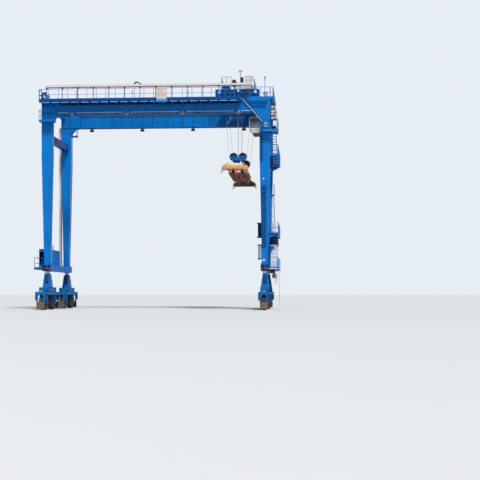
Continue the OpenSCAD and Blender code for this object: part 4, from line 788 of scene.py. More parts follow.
FLIGHTS = ((12.105, (1.82, LANDING_1), (-1.78, LANDING_2), 15),
           (12.36, (0.2, LANDING_3), (-2.2, LANDING_4), 9))
p = Piece("stair_sides", "gantry", "blue_paint")
t = Piece("stair_gratings", "gantry", "galvanised")
for x0, (ya, za), (yb, zb), n in FLIGHTS:
    for x in (x0 + 0.005, x0 + 0.485):
        p.prism([(ya, za), (ya, za + 0.22), (yb, zb), (yb, zb - 0.22)], "x", x, x + 0.012, BLUE)
        for dz in (0.0, -0.22):
            p.prism([(ya, za + 0.22 + dz), (ya, za + 0.21 + dz), (yb, zb - 0.01 + dz), (yb, zb + dz)], "x",
                    x, x + 0.03, BLUE)
        rx = x + 0.015
        p.tube([(rx, ya - 0.02, za), (rx, ya - 0.02, za + 0.9), (rx, yb, zb + 0.88), (rx, yb, zb)], 0.021, 8,
               BLUE)
        p.tube([(rx, ya - 0.02, za + 0.5), (rx, yb, zb + 0.46)], 0.016, 8, BLUE)
        for k in (1, 2, 3):
            y, z = ya + (yb - ya) * k / 4, za + (zb - za) * k / 4
            p.tube([(rx, y, z), (rx, y, z + 0.9)], 0.019, 8, BLUE)
    for i in range(1, n + 1):
        y, z = ya + (yb - ya) * i / (n + 1), za + (zb - za) * i / (n + 1)
        a, b = x0 + 0.04, x0 + 0.48
        t.box((a, b), (y + 0.104, y + 0.11), (z - 0.04, z), GALV)
        t.box((a, b), (y - 0.11, y - 0.104), (z - 0.04, z), GALV)
        for q in spread(y - 0.09, y + 0.09, 7):
            t.box((a, b), about(q, 0.004), (z - 0.03, z - 0.002), GALV)
        for q in spread(a + 0.02, b - 0.02, 6):
            t.box(about(q, 0.004), about(y, 0.104), (z - 0.012, z - 0.003), GALV)
        t.box((a, b), (y + 0.085, y + 0.11), (z - 0.002, z + 0.003), WHITE)
        for q in (a, b):
            t.block((q + (0.004 if q == a else -0.004), y, z - 0.03), (0.008, 0.18, 0.06), GALV)
p.done(replaces="stair_stringers")
t.done(replaces="stair_treads")


def ladder(p, at, across, z0, z1, mat=BLUE):
    """A ladder with round rungs, from its left stile's foot."""
    ax, ay = across
    width = 0.44
    for k in (0.03, width - 0.03):
        x, y = at[0] + ax * k, at[1] + ay * k
        p.block((x, y, (z0 + z1) / 2), (0.012 if ax else 0.056, 0.012 if ay else 0.056, z1 - z0), mat)
    ends = [(at[0] + ax * k, at[1] + ay * k) for k in (0.02, width - 0.02)]
    z = z0 + 0.315
    while z < z1 - 0.05:
        p.tube([(*end, z) for end in ends], 0.012, 6, mat)
        z += 0.3


p = Piece("ladder_rungs", "gantry", "blue_paint")
ladder(p, (12.595, -3.33), (1, 0), 4.45, 9.2)
ladder(p, (11.625, -2.85), (1, 0), 12.3, 17.4)
for z in (13.2, 14.6, 16.0, 17.2):
    for x in (11.655, 12.035):
        p.block((x, -2.87, z), (0.05, 0.02, 0.06), BLUE)
for t in (-1, 1):
    ladder(p, (t * (REACH + 0.03), -0.22), (0, 1), 0.45, 5.45, GALV if t > 0 else BLUE)
p.done(replaces="ladders")

p = Piece("sill_deck_dress", "gantry", "blue_paint")
for t in (-1, 1):
    x0, x1 = t * 12.185, t * REACH
    p.box((x0, x1), (-3.5, 3.5), (4.38, 4.44), DEEP)
    p.box((x0 + t * 0.02, x1 - t * 0.02), (-3.48, 3.48), (4.44, 4.45), GRATE)
    p.box((x1 - t * 0.05, x1), (-3.5, 3.5), (4.31, 4.45), BLUE)
    for y in spread(-3.47, 3.47, 9):
        p.block(((x0 + x1) / 2, y, 4.36), (0.94, 0.06, 0.10), BLUE)
    for s in (-1, 1):
        guard(p, (x0 + t * 0.03, s * 3.476), (t * RAIL_X, s * 3.476), SILL_DECK, 1)
        guard(p, (t * RAIL_X, s * 3.476), (t * RAIL_X, s * 0.6), SILL_DECK, 2)
        # Deep struts that carry the deck from the sill beam
        p.prism([(x0, 4.17), (x0, 4.40), (t * 12.9, 4.38)], "y", s * 2.2 - 0.03, s * 2.2 + 0.03, BLUE)
p.done(replaces="sill_platforms")


# Houses and boxes

def doors(p, axis, at, spans, z, face, paints, handle=True, vents=0):
    """Door leaves on a face: axis is the face's normal, spans the leaves along the wall, face its sign."""
    (leaf, trim), (z0, z1) = paints, z

    def put(u, out, up, mat):
        d = tuple(at + face * k for k in out)
        p.box(d if axis == "x" else u, u if axis == "x" else d, up, mat)

    for a, b in map(sorted, spans):
        put((a + 0.02, b - 0.02), (0, 0.014), (z0 + 0.03, z1 - 0.03), leaf)
        put((a + 0.012, b - 0.012), (0, 0.004), (z0 + 0.02, z1 - 0.02), trim)
        if handle:
            put((b - 0.09, b - 0.06), (0.014, 0.035), about((z0 + z1) / 2, 0.09), trim)
        for k in (0.15, 0.85):
            put((a + 0.01, a + 0.03), (0, 0.026), about(z0 + (z1 - z0) * k, 0.05), trim)
        slots = [z0 + 0.16 + i * 0.045 for i in range(vents)]
        if vents:
            slots += [z1 - 0.18 - i * 0.045 for i in range(max(3, vents // 2))]
        for h in slots:
            put((a + 0.10, b - 0.10), (0.014, 0.024), (h, h + 0.016), trim)


p = Piece("electrical_house_doors", "gantry", "white_paint")
a, b = 12.245, 12.865
p.box((a, b), (-2.65, 2.65), (4.53, 6.86), WHITE)
p.box((a, b), (-2.65, 2.65), (4.45, 4.53), DARK)
p.box((a - 0.03, b + 0.03), (-2.68, 2.68), (6.86, 6.92), WHITE)
p.box((a, b), (-2.65, 2.65), (6.92, 6.95), GALV)
doors(p, "x", b, [(-2.6 + i * 0.65, -1.95 + i * 0.65) for i in range(8)], (4.56, 6.82), 1, (WHITE, GALV),
      vents=4)
doors(p, "y", -2.65, [(a + 0.03, b - 0.03)], (4.56, 6.3), -1, (WHITE, GALV), vents=3)
doors(p, "y", 2.65, [(a + 0.03, b - 0.03)], (4.56, 6.3), 1, (WHITE, GALV), vents=3)
# Louvre, triangular cover and pipes on the near end
p.box((a + 0.10, b - 0.10), (-2.65, -2.675), (6.42, 6.76), DARK)
for z in spread(6.45, 6.72, 7):
    p.box((a + 0.11, b - 0.11), (-2.67, -2.679), (z, z + 0.015), GALV)
p.tube([(a + 0.12, -2.67, 6.9), (a + 0.12, -2.67, 7.0)], 0.02, 8, GALV)
p.prism([(a, 6.84), (a + 0.34, 6.84), (a, 5.95)], "y", -2.70, -2.655, MID)
p.tube([(a + 0.40, -2.70, 6.86), (a + 0.05, -2.70, 5.9), (a + 0.03, -2.70, 4.6)], 0.025, 8, MID)
p.done(bevel=0.004, replaces="electrical_house")

p = Piece("resistor_louvres", "gantry", "dark_steel")
a, b, c, d = 12.17, 13.03, -2.2, 1.0
p.box((a + 0.03, b - 0.03), (c + 0.03, d - 0.03), (6.99, 7.86), DARK)
p.box((a, b), (c, d), (7.86, 7.91), NAVY)
for y in spread(c + 0.03, d - 0.03, 4):
    for x in (a + 0.025, b - 0.025):
        p.block((x, y, 7.41), (0.05, 0.06, 0.92), NAVY)
for x in (a + 0.015, b - 0.015):
    for z in spread(7.04, 7.80, 13):
        p.block((x, (c + d) / 2, z), (0.02, d - c - 0.06, 0.035), NAVY)
for y in (c + 0.015, d - 0.015):
    for z in spread(7.04, 7.80, 13):
        p.block(((a + b) / 2, y, z), (b - a - 0.06, 0.02, 0.035), NAVY)
p.box((a, b), (c, d), (6.95, 6.99), STEEL)
p.done(replaces="resistor_box")

p = Piece("engine_house_doors", "gantry", "blue_paint")
a, b = -12.245, -13.065
p.box((a, b), (-2.2, 2.2), (4.60, 6.55), BLUE)
p.box((a, b), (-2.2, 2.2), (4.45, 4.60), DARK)
p.box((a, b), (-2.2, 2.2), (6.55, 6.60), DEEP)
doors(p, "x", b, [(-2.16 + i * 0.72, -1.44 + i * 0.72) for i in range(6)], (4.64, 6.50), 1, (BLUE, DEEP),
      vents=6)
for s in (-1, 1):
    p.box((a - 0.08, b + 0.08), (s * 2.2, s * 2.19), (4.9, 6.3), DARK)
    for z in spread(4.95, 6.25, 18):
        p.box((a - 0.09, b + 0.09), (s * 2.185, s * 2.2), (z, z + 0.03), DEEP)
p.tube([(-12.655, 1.1, 6.58), (-12.655, 1.1, 7.02)], 0.07, 16, STEEL)
p.can((-12.655, 1.1, 6.62), (0, 0, 1), 0.09, 0.05, 20, DARK)
p.tube([(-12.655, 1.1, 7.0), (-12.655, 1.1, 7.22), (-12.655, 1.16, 7.27)], 0.055, 14, STEEL)
p.block((-12.655, -0.9, 6.60), (0.4, 0.9, 0.02), DARK)
p.done(bevel=0.004, replaces="power_pack")

p = Piece("leg_box_doors", "gantry", "white_paint")
y0, y1 = -3.46, -2.94
p.box((12.3, 12.88), (y0, y1), (20.22, 21.68), WHITE)
p.box((12.3, 12.9), (y0, y1), (21.66, 21.70), WHITE)
doors(p, "y", y0, [(12.32, 12.88)], (20.24, 20.92), -1, (WHITE, GALV))
doors(p, "y", y0, [(12.32, 12.88)], (20.95, 21.64), -1, (WHITE, GALV))
doors(p, "x", 12.88, [(y0 + 0.02, y1 - 0.02)], (20.24, 21.62), 1, (WHITE, GALV), handle=False)
for z in (20.58, 21.30):
    # Round fan grille with its dark throat
    p.can((12.60, y0 - 0.004, z), (0, -1, 0), 0.20, 0.012, 28, DARK)
    for r in (0.06, 0.12, 0.18):
        p.turned([(r, 0), (r + 0.008, 0.008), (r + 0.016, 0)], (12.60, y0 - 0.016, z), (0, -1, 0), 28, GALV)
    p.box((12.32, 12.38), (y0 - 0.02, y0), about(z, 0.28), DARK)
p.tube([(12.90, y0 + 0.1, 21.5), (12.96, y0 + 0.1, 21.4), (12.96, y0 + 0.1, 20.4), (12.93, y0 + 0.15, 19.6)],
       0.03, 8, GALV)
p.tube([(12.90, y0 + 0.3, 21.2), (13.0, y0 + 0.3, 21.1), (13.0, y0 + 0.25, 20.2), (12.9, y0 + 0.2, 19.5)],
       0.02, 8, DARK)
for z in (20.2, 20.90, 21.62):
    p.box((12.3, 12.9), (y0 - 0.012, y1), (z, z + 0.09), NAVY)
p.box((12.33, 12.42), (y0 - 0.03, y0), (20.22, 21.66), NAVY)
for x in (12.72, 12.84):
    p.tube([(x, y0 - 0.03, 20.0), (x + 0.02, y0 - 0.04, 20.8), (x - 0.03, y0 - 0.03, 21.7)], 0.022, 8, NAVY)
p.box((12.3, 12.60), (y0, y1), (14.98, 16.30), NAVY)
p.box((12.3, 12.62), (y0, y1), (14.97, 15.0), DARK)
doors(p, "y", y0, [(12.31, 12.60)], (15.0, 16.26), -1, (NAVY, DARK), vents=8)
for z0, z1, m in ((7.7, 9.2, NAVY), (5.4, 6.9, BOX_GREY)):
    h0, h1 = HS - leg_half(z0), HS - leg_half(z1)
    left = h1 - 0.36
    p.prism([(left, z0), (h0, z0), (h1, z1), (left, z1)], "y", y0 + 0.01, y1 - 0.01, m)
    for z in (z0 - 0.04, z1 - 0.06):
        p.box((left - 0.10, h0), (y0, y1), (z, z + 0.10), NAVY)
    p.box((left, left + 0.06), (y0, y1), (z0, z1), NAVY)
    p.box((left + 0.08, h1 - 0.03), (y0 + 0.01, y0), (z0 + 0.12, z1 - 0.12), m)
    if m is NAVY:
        for z in spread(z0 + 0.15, z1 - 0.2, 14):
            p.box((left + 0.03, h1 - 0.05), (y0 + 0.004, y0), (z, z + 0.04), NAVY)
# Cable duct up the rear left leg
p.box((-12.55, -12.3), (2.90, 3.22), (4.45, 20.9), DUCT)
for z in spread(4.9, 20.7, 12):
    p.box((-12.55, -12.3), (2.88, 3.23), (z, z + 0.06), GALV)
p.box((-12.33, -12.3), (2.888, 2.90), (4.45, 20.9), DARK)
# Small grey and navy boxes by the top landing
p.box((11.63, 12.06), (-3.77, -3.52), (19.32, 19.84), BOX_GREY)
doors(p, "y", -3.755, [(11.64, 12.05)], (19.33, 19.83), -1, (BOX_GREY, DARK))
p.box((12.45, 12.95), (y0, y1), (18.97, 19.48), NAVY)
p.box((12.45, 12.95), (y0, y1), (19.47, 19.50), DARK)
for x in (12.5, 12.9):
    p.block((x, (y0 + y1) / 2, 18.965), (0.06, 0.4, 0.03), DARK)
p.done(bevel=0.003, replaces="leg_boxes")


# Trolley

dress(DEEP, "trolley_frame", bevel=0.01)
dress(CABIN, "operator_cabin", bevel=0.01)

p = Piece("trolley_fittings", "trolley", "blue_paint")
for s in (-1, 1):
    for k in (-1, 1):
        # Axle caps, bolts and splice plates on the side beams, and buffers at their ends
        p.can((TX + k * CROSS_X, s * 3.38, AXLE_Z), (0, s, 0), 0.085, 0.02, 20, DARK)
        p.bolts([(TX + k * CROSS_X + a, s * 3.38, AXLE_Z + b) for a, b in circle(6, 0.11)], (0, s, 0), 0.012,
                0.014, DEEP)
        p.block((TX + k * 1.25, s * 3.386, 23.12), (0.3, 0.012, 0.56), BLUE)
        p.bolts([(TX + k * 1.25 + dx, s * 3.39, z) for dx in (-0.11, 0.11) for z in spread(22.9, 23.35, 5)],
                (0, s, 0), 0.012, 0.012, DEEP)
        p.can((TX + k * 2.35, s * HG, 22.98), (-k, 0, 0), 0.10, 0.02, 20, DARK)
        p.box((TX + k * 2.30, TX + k * 2.345), (s * 3.04, s * 3.36), (22.80, 23.43), DEEP)
    p.box(about(TX, 2.3), (s * 3.378, s * 3.39), (23.425, 23.45), SKY)
    p.box(about(TX, 1.6), (s * 3.378, s * 3.384), (22.785, 22.80), SKY)
    # Stiffeners of the cross beams
    for k in (-1, 1):
        for y in spread(0.35, 2.9, 6):
            p.block((TX + k * CROSS_X, s * y, 23.24), (0.335, 0.012, 0.40), DEEP)
p.box(about(TX, 0.84), (-1.49, 1.49), (23.48, 23.486), GRATE)
# Dark floor plates under the machinery, with slots for the ropes
for y0, y1 in ((-2.98, -2.38), (-2.22, 2.22), (2.38, 2.98)):
    p.box((TX - 2.28, TX + 1.60), (y0, y1), (23.0, 23.015), NAVY)
    p.box((TX + 2.05, TX + 2.28), (y0, y1), (23.0, 23.015), NAVY)
for x in (-2.1, -1.2, -0.3, 0.6, 1.5):
    p.box(about(TX + x, 0.02), (-2.2, 2.2), (22.92, 23.0), NAVY)
# Travel drives, boxes, hoses and a cable loop on the near side beam
for k in (-1, 1):
    x = TX + k * 1.45
    p.can((x, -3.40, 23.22), (0, -1, 0), 0.13, 0.03, 24, DARK)
    p.box((x - k * 0.20, x - k * 0.62), (-3.44, -3.38), (22.98, 23.34), DARK)
    p.box((x + k * 0.34, x + k * 0.60), (-3.43, -3.38), (23.02, 23.30), GALV)
for x in (-0.45, 0.05, 0.42):
    p.box(about(TX + x, 0.13), (-3.44, -3.38), (22.95, 23.36), DARK)
    p.box(about(TX + x, 0.09), (-3.448, -3.44), (23.06, 23.30), DEEP)
p.tube([(TX - 2.2, -3.41, 23.38), (TX - 1.2, -3.43, 23.30), (TX - 0.4, -3.43, 23.40),
        (TX + 0.6, -3.43, 23.31), (TX + 1.6, -3.43, 23.39), (TX + 2.2, -3.41, 23.34)], 0.02, 8, DARK)
p.tube([(TX - 2.1, -3.41, 23.0), (TX - 1.0, -3.43, 22.90), (TX + 0.2, -3.43, 22.88),
        (TX + 2.0, -3.41, 22.97)], 0.016, 8, DARK)
# Grating between the bearers at the trolley's ends
for s in (-1, 1):
    p.box((TX - 2.0, TX - 1.70), (s * 0.2, s * 2.9), (23.45, 23.456), GRATE)
    p.box((TX + 1.70, TX + 2.0), (s * 0.2, s * 2.9), (23.45, 23.456), GRATE)
    for k in (-1, 1):
        # Drum bearing caps
        p.ring((TX + k * DRUM_X, s * 2.83, DRUM_Z), (0, s, 0), (0.072, 0.15), (0.0, 0.03), 24, DEEP)
        p.bolts([(TX + k * DRUM_X + a, s * 2.86, DRUM_Z + b) for a, b in circle(8, 0.12)], (0, s, 0), 0.012,
                0.012, DARK)
p.done()

p = Piece("trolley_wheel_treads", "trolley", "dark_steel")
w = 0.07
prof = both_sides([(0.0605, -w), (0.12, -w), (0.12, -0.035), (0.25, -0.035), (0.25, -w), (0.2997, -w)])
paints = [DARK, DARK, RUSTY, DARK, DARK, STEEL, DARK, DARK, RUSTY, DARK, DARK, DARK]
for s in (-1, 1):
    for k in (-1, 1):
        p.turned(prof, (TX + k * CROSS_X, s * HG, AXLE_Z), (0, 1, 0), 40, paints, closed=True, smooth=False)
p.done(replaces="trolley_wheels")

p = Piece("drum_grooves", "trolley", "dark_steel")
for k in (-1, 1):
    prof = [(0, -2.83), (0.07, -2.83), (0.07, -2.65), (0.37, -2.65), (0.37, -2.61), (0.33, -2.61)]
    y = -2.60
    while y < 2.58:
        prof += [(0.348, y), (0.335, y + 0.02)]
        y += 0.04
    prof += [(0.33, 2.61), (0.37, 2.61), (0.37, 2.65), (0.07, 2.65), (0.07, 2.83), (0, 2.83)]
    p.turned(prof, (TX + k * DRUM_X, 0, DRUM_Z), (0, 1, 0), 40, DARK)
    for s in (-1, 1):
        # Rope turns on the drum, wound from each end
        for y in spread(1.75, 2.30, 14):
            p.turned([(0.342, s * y - 0.013), (0.362, s * y - 0.007), (0.362, s * y + 0.007),
                      (0.342, s * y + 0.013)], (TX + k * DRUM_X, 0, DRUM_Z), (0, 1, 0), 40, GALV)
p.done(replaces="hoist_drums")

p = Piece("hoist_machinery", "trolley", "red_paint")
gz0, gz1 = 23.48, 24.68
p.box(about(TX, 0.75), (-0.45, 0.45), (gz0 + 0.05, gz0 + 0.78), GALV)
p.box(about(TX, 0.75), (-0.45, 0.45), (gz0, gz0 + 0.06), DARK)
p.box(about(TX, 0.70), (-0.41, 0.41), (gz0 + 0.80, gz1), GALV)
p.box(about(TX, 0.75), (-0.45, 0.45), (gz0 + 0.76, gz0 + 0.82), STEEL)
p.bolts([(TX + x, s * 0.43, gz0 + 0.82) for s in (-1, 1) for x in spread(-0.7, 0.7, 10)], (0, 0, 1), 0.014,
        0.03, DARK)
for x in (-0.45, 0.0, 0.45):
    for s in (-1, 1):
        p.can((TX + x, s * 0.41, gz0 + 0.70), (0, s, 0), 0.15, 0.04, 24, DARK)
for x in spread(-0.6, 0.6, 5):
    for s in (-1, 1):
        p.block((TX + x, s * 0.43, gz0 + 0.35), (0.03, 0.04, 0.6), GALV)
# Motor with cooling fins, fan cowl, terminal box and feet
mx, mz = TX - 0.58, gz1 + 0.26
p.can((mx, -0.96, mz), (0, 1, 0), 0.215, 1.24, 32, RED)
for a in spread(0, 2 * math.pi, 29)[:-1]:
    ca, sa = math.cos(a), math.sin(a)
    c = Vector((mx + ca * 0.225, 0, mz + sa * 0.225))
    n = Vector((-sa, 0, ca)) * 0.006
    o = Vector((ca, 0, sa)) * 0.02
    q = [c - n - o, c + n - o, c + n + o, c - n + o]
    p.add([(v.x, y, v.z) for y in (-0.72, 0.14) for v in q],
          [(0, 1, 2, 3), (7, 6, 5, 4), (0, 4, 5, 1), (1, 5, 6, 2), (2, 6, 7, 3), (3, 7, 4, 0)], RED)
p.can((mx, -1.0, mz), (0, 1, 0), 0.26, 0.24, 32, RED, 0.03)
p.can((mx, -1.001, mz), (0, 1, 0), 0.17, 0.01, 24, DARK)
p.can((mx, 0.14, mz), (0, 1, 0), 0.26, 0.16, 32, RED, 0.02)
p.block((mx, -0.22, mz + 0.225), (0.26, 0.34, 0.07), RED)
p.box(about(mx, 0.25), (-0.44, 0.18), (gz1, gz1 + 0.07), DARK)
for y in (-0.35, 0.1):
    p.block((mx, y, gz1 + 0.13), (0.4, 0.08, 0.14), RED)
# Brake and coupling beside the motor
p.can((TX + 0.1, -0.3, gz1 + 0.16), (0, 1, 0), 0.15, 0.3, 24, DEEP, 0.02)
p.block((TX + 0.1, -0.15, gz1 + 0.03), (0.4, 0.5, 0.06), DARK)
p.tube([(mx, 0.0, gz1 + 0.35), (TX - 0.2, 0.2, gz1 + 0.30), (TX + 0.1, 0.1, gz1 + 0.28)], 0.016, 8, DARK)
p.done(replaces="hoist_drive")

p = Piece("trolley_round_rails", "trolley", "blue_paint")
guard(p, (TX - 1.64, -3.356), (TX - 0.66, -3.356), BEAM_Z, 2, 1.35)
guard(p, (TX - 1.738, 3.356), (TX + 1.738, 3.356), BEAM_Z, 4, 1.35)
for k in (-1, 1):
    guard(p, (TX + k * 1.738, -2.9), (TX + k * 1.738, 2.9), BEAM_Z, 6, 1.35)
p.tube([(TX + 1.62, -3.34, 24.79), (TX + 1.98, -3.34, BEAM_Z)], 0.022, 8, BLUE)
p.tube([(TX + 1.56, -3.34, 24.79), (TX + 1.62, -3.34, 24.79)], 0.022, 8, BLUE)
p.done(replaces="trolley_handrails")

p = Piece("trolley_cabinet_doors", "trolley", "white_paint")
a, b, y0, y1 = TX + 0.85, TX + 1.55, -3.43, -2.97
p.box((a, b), (y0 + 0.015, y1), (BEAM_Z + 0.05, 24.80), PANEL)
p.box((a, b), (y0, y1 + 0.03), (24.80, 24.85), PANEL)
p.box((a + 0.04, b - 0.04), (y0 + 0.06, y1 - 0.04), (BEAM_Z, BEAM_Z + 0.06), DARK)
for z0, z1 in ((23.52, 23.94), (23.96, 24.38), (24.40, 24.79)):
    doors(p, "y", y0 + 0.015, [(a + 0.01, b - 0.01)], (z0, z1), -1, (PANEL, DARK))
    p.box((a, b), (y0 + 0.010, y0 + 0.02), (z1, z1 + 0.012), DARK)
p.done(bevel=0.003, replaces="trolley_cabinet")

p = Piece("mast_lamps", "trolley", "dark_steel")
x, y = TX + 0.32, -3.29
p.tube([(x, y, BEAM_Z), (x, y, 25.32)], 0.03, 12, BLUE)
p.box(about(x, 0.08), about(y, 0.06), (BEAM_Z, BEAM_Z + 0.015), GALV)
p.box(about(x, 0.2), about(y, 0.02), (25.30, 25.33), GALV)
for k in (-1, 1):
    p.box((x + k * 0.02, x + k * 0.19), about(y, 0.09), (25.33, 25.49), DARK)
    p.box((x + k * 0.03, x + k * 0.18), (y - 0.094, y - 0.09), (25.345, 25.475), LENS)
p.box((x + 0.03, x + 0.34), about(y, 0.03), (24.20, 24.74), DARK)
p.box((x + 0.05, x + 0.32), (y - 0.032, y - 0.028), (24.24, 24.70), DARK)
for z in (24.4, 24.8):
    p.block((x + 0.01, y, z), (0.08, 0.04, 0.03), GALV)
p.done(bevel=0.003, replaces="trolley_mast")


# Operator's cabin

dress(PANE, "cabin_windows")
CX0, CX1, CZ0, CZ1 = TX + 1.08, TX + 2.42, 19.29, 20.99
p = Piece("cabin_fittings", "trolley", "blue_paint")
for s in (-1, 1):
    y = s * 0.953
    # Gaskets round the side windows, a rain ledge and a rail
    for z in (19.91, 20.86):
        p.box((CX0 + 0.11, CX1 - 0.11), (y, y + s * 0.008), about(z, 0.02), DARK)
    for x in (CX0 + 0.13, CX0 + 0.62, CX1 - 0.13):
        p.box(about(x, 0.018), (y, y + s * 0.008), (19.91, 20.86), DARK)
    p.box((CX0 - 0.01, CX1), (s * 0.95, s * 0.985), (CZ1 - 0.03, CZ1 - 0.005), CABIN)
    p.tube([(CX0 + 0.5, s * 0.985, 19.75), (CX1 - 0.1, s * 0.985, 19.75)], 0.014, 8, GALV)
    for x in (CX0 + 0.55, CX1 - 0.15):
        p.tube([(x, s * 0.95, 19.75), (x, s * 0.985, 19.75)], 0.01, 6, GALV)
    # Hanger plates with bolts
    p.block((TX + CROSS_X, s * 0.8, CZ1 + 0.02), (0.40, 0.26, 0.04), DEEP)
    p.bolts([(TX + CROSS_X + dx, s * 0.8 + dy, CZ1 + 0.04) for dx in (-0.165, 0.165)
             for dy in (-0.09, 0.09)], (0, 0, 1), 0.016, 0.02, DARK)
    p.block((TX + CROSS_X, s * 0.8, CROSS_Z - 0.02), (0.34, 0.26, 0.04), DEEP)
for y in (-0.45, 0.0, 0.45):
    p.box((CX0 - 0.008, CX0 - 0.001), about(y, 0.02), (19.90, 20.87), DARK)
for z in (19.90, 20.87):
    p.box((CX0 - 0.008, CX0 - 0.001), (-0.83, 0.83), about(z, 0.02), DARK)
# Dark header band, pale lower panel, roof unit and lamps below the sill
for s in (-1, 1):
    p.box((CX0 + 0.06, CX1 - 0.02), (s * 0.952, s * 0.960), (20.62, 20.92), BLACK)
    p.box((CX0, CX0 + 0.05), (s * 0.950, s * 0.962), (19.86, CZ1), GALV)
    p.prism([(CX0 + 0.43, CZ0 + 0.02), (CX1 - 0.02, CZ0 + 0.02), (CX1 - 0.02, 19.87), (CX0 + 0.02, 19.87)],
            "y", s * 0.950, s * 0.957, PANEL)
p.box((CX0 - 0.006, CX0), (-0.93, 0.93), (20.86, CZ1 - 0.03), BLACK)
# Black sheet over the cabin's underside: painted shade
p.box((CX0 + 0.44, CX1 - 0.01), (-0.93, 0.93), (CZ0 - 0.006, CZ0), BLACK)
p.box((CX0 + 0.15, CX0 + 0.62), (-0.35, 0.35), (CZ1, CZ1 + 0.22), WHITE)
for x in spread(CX0 + 0.18, CX0 + 0.59, 9):
    p.box(about(x, 0.006), (-0.30, 0.30), (CZ1 + 0.22, CZ1 + 0.228), DARK)
for y in (-0.6, 0.6):
    p.box((CX0 + 0.5, CX0 + 0.7), about(y, 0.09), (CZ0 - 0.07, CZ0), DARK)
# Floor, seat, armrest boxes and a console inside
p.box((CX0 + 0.50, CX1 - 0.07), (-0.88, 0.88), (CZ0 + 0.062, CZ0 + 0.085), BLACK)
sx = CX0 + 0.86
p.can((sx, 0, CZ0 + 0.08), (0, 0, 1), 0.10, 0.28, 20, DARK)
p.block((sx, 0, CZ0 + 0.42), (0.48, 0.46, 0.12), BLACK)
p.prism([(sx + 0.18, CZ0 + 0.46), (sx + 0.28, CZ0 + 0.46), (sx + 0.40, CZ0 + 1.05), (sx + 0.31, CZ0 + 1.05)],
        "y", -0.22, 0.22, BLACK)
p.prism([(sx + 0.33, CZ0 + 1.07), (sx + 0.40, CZ0 + 1.07), (sx + 0.43, CZ0 + 1.27), (sx + 0.36, CZ0 + 1.27)],
        "y", -0.12, 0.12, BLACK)
for s in (-1, 1):
    p.block((sx - 0.10, s * 0.36, CZ0 + 0.58), (0.50, 0.16, 0.10), DARK)
    p.tube([(sx - 0.26, s * 0.36, CZ0 + 0.62), (sx - 0.28, s * 0.36, CZ0 + 0.76)], 0.012, 8, BLACK)
    p.turned([(0, -0.02), (0.02, 0), (0, 0.02)], (sx - 0.28, s * 0.36, CZ0 + 0.77), (0, 0, 1), 12, RED)
p.box((CX1 - 0.16, CX1 - 0.062), (-0.5, 0.5), (CZ0 + 0.9, CZ0 + 1.45), DARK)
# Door in the rear wall
p.box((CX1 - 0.002, CX1), (0.12, 0.82), (CZ0 + 0.06, CZ1 - 0.1), DEEP)
p.done(bevel=0.003)


# Ropes: falls that stretch between the trolley and the headblock

p = Piece("rope_falls", None, "dark_steel")
drum, sheave = Vector((DRUM_X, DRUM_Z)), Vector((SHEAVE_X, SHEAVE_Z))
lean = math.atan2(drum.x - sheave.x, drum.y - sheave.y)
lean -= math.asin((SHEAVE_R - 0.37) / (drum - sheave).length)
ca, sa = math.cos(lean), math.sin(lean)
for s in (-1, 1):
    for y in (-SHEAVE_Y, SHEAVE_Y):
        top = drum + Vector((ca, -sa)) * 0.384
        low = sheave + Vector((ca, -sa)) * (SHEAVE_R + 0.002)
        pts = [(TX + s * (top.x + (low.x - top.x) * k), y, top.y + (low.y - top.y) * k)
               for k in spread(0, 1, 25)]
        p.tube(pts, 0.014, 8, STEEL)
        x = TX + s * (SHEAVE_X - SHEAVE_R - 0.014)
        p.tube([(x, y, z) for z in spread(23.25, SHEAVE_Z, 25)], 0.014, 8, STEEL)
ropes = p.done(replaces="hoist_ropes")
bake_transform(ropes)

p = Piece("rope_ends", "trolley", "dark_steel")
for s in (-1, 1):
    for y in (-SHEAVE_Y, SHEAVE_Y):
        x = TX + s * (SHEAVE_X - SHEAVE_R - 0.014)
        p.can((x, y, 22.98), (0, 0, 1), 0.022, 0.27, 12, GALV, 0.004)
    p.block((TX, s * 2.3, 23.24), (0.20, 0.30, 0.03), GALV)
p.done()


# Headblock with its sheaves

dress(MID, "headblock", bevel=0.006)
p = Piece("sheave_grooves", "hoist", "dark_steel")
w = 0.055
prof = both_sides([(0.0505, -w), (0.12, -w), (0.12, -0.03), (0.36, -0.012), (0.40, -w + 0.01),
                   (0.45, -w + 0.008), (0.447, -0.030), (0.434, -0.010)])
disc = [NAVY] * 3
paints = [DARK, DARK] + disc + [DARK] * 5 + disc + [DARK] * 3
for y in (-SHEAVE_Y, SHEAVE_Y):
    for x in (-SHEAVE_X, SHEAVE_X):
        p.turned(prof, (TX + x, y, SHEAVE_Z), (0, 1, 0), 48, paints, closed=True)
        for a in spread(0, 2 * math.pi, 7)[:-1]:
            for s in (-1, 1):
                p.turned([(0.0, 0.012), (0.055, 0.012), (0.065, 0)],
                         (TX + x + 0.23 * math.cos(a), y + s * 0.022, SHEAVE_Z + 0.23 * math.sin(a)),
                         (0, s, 0), 14, DARK)
p.done(replaces="headblock_sheaves")

p = Piece("rope_wraps", "hoist", "dark_steel")
for y in (-SHEAVE_Y, SHEAVE_Y):
    for s in (-1, 1):
        p.tube([(TX + s * (SHEAVE_X + SHEAVE_R * math.cos(a)), y, SHEAVE_Z + SHEAVE_R * math.sin(a))
                for a in spread(-lean, -math.pi, 25)], 0.0135, 6, STEEL)
p.done()

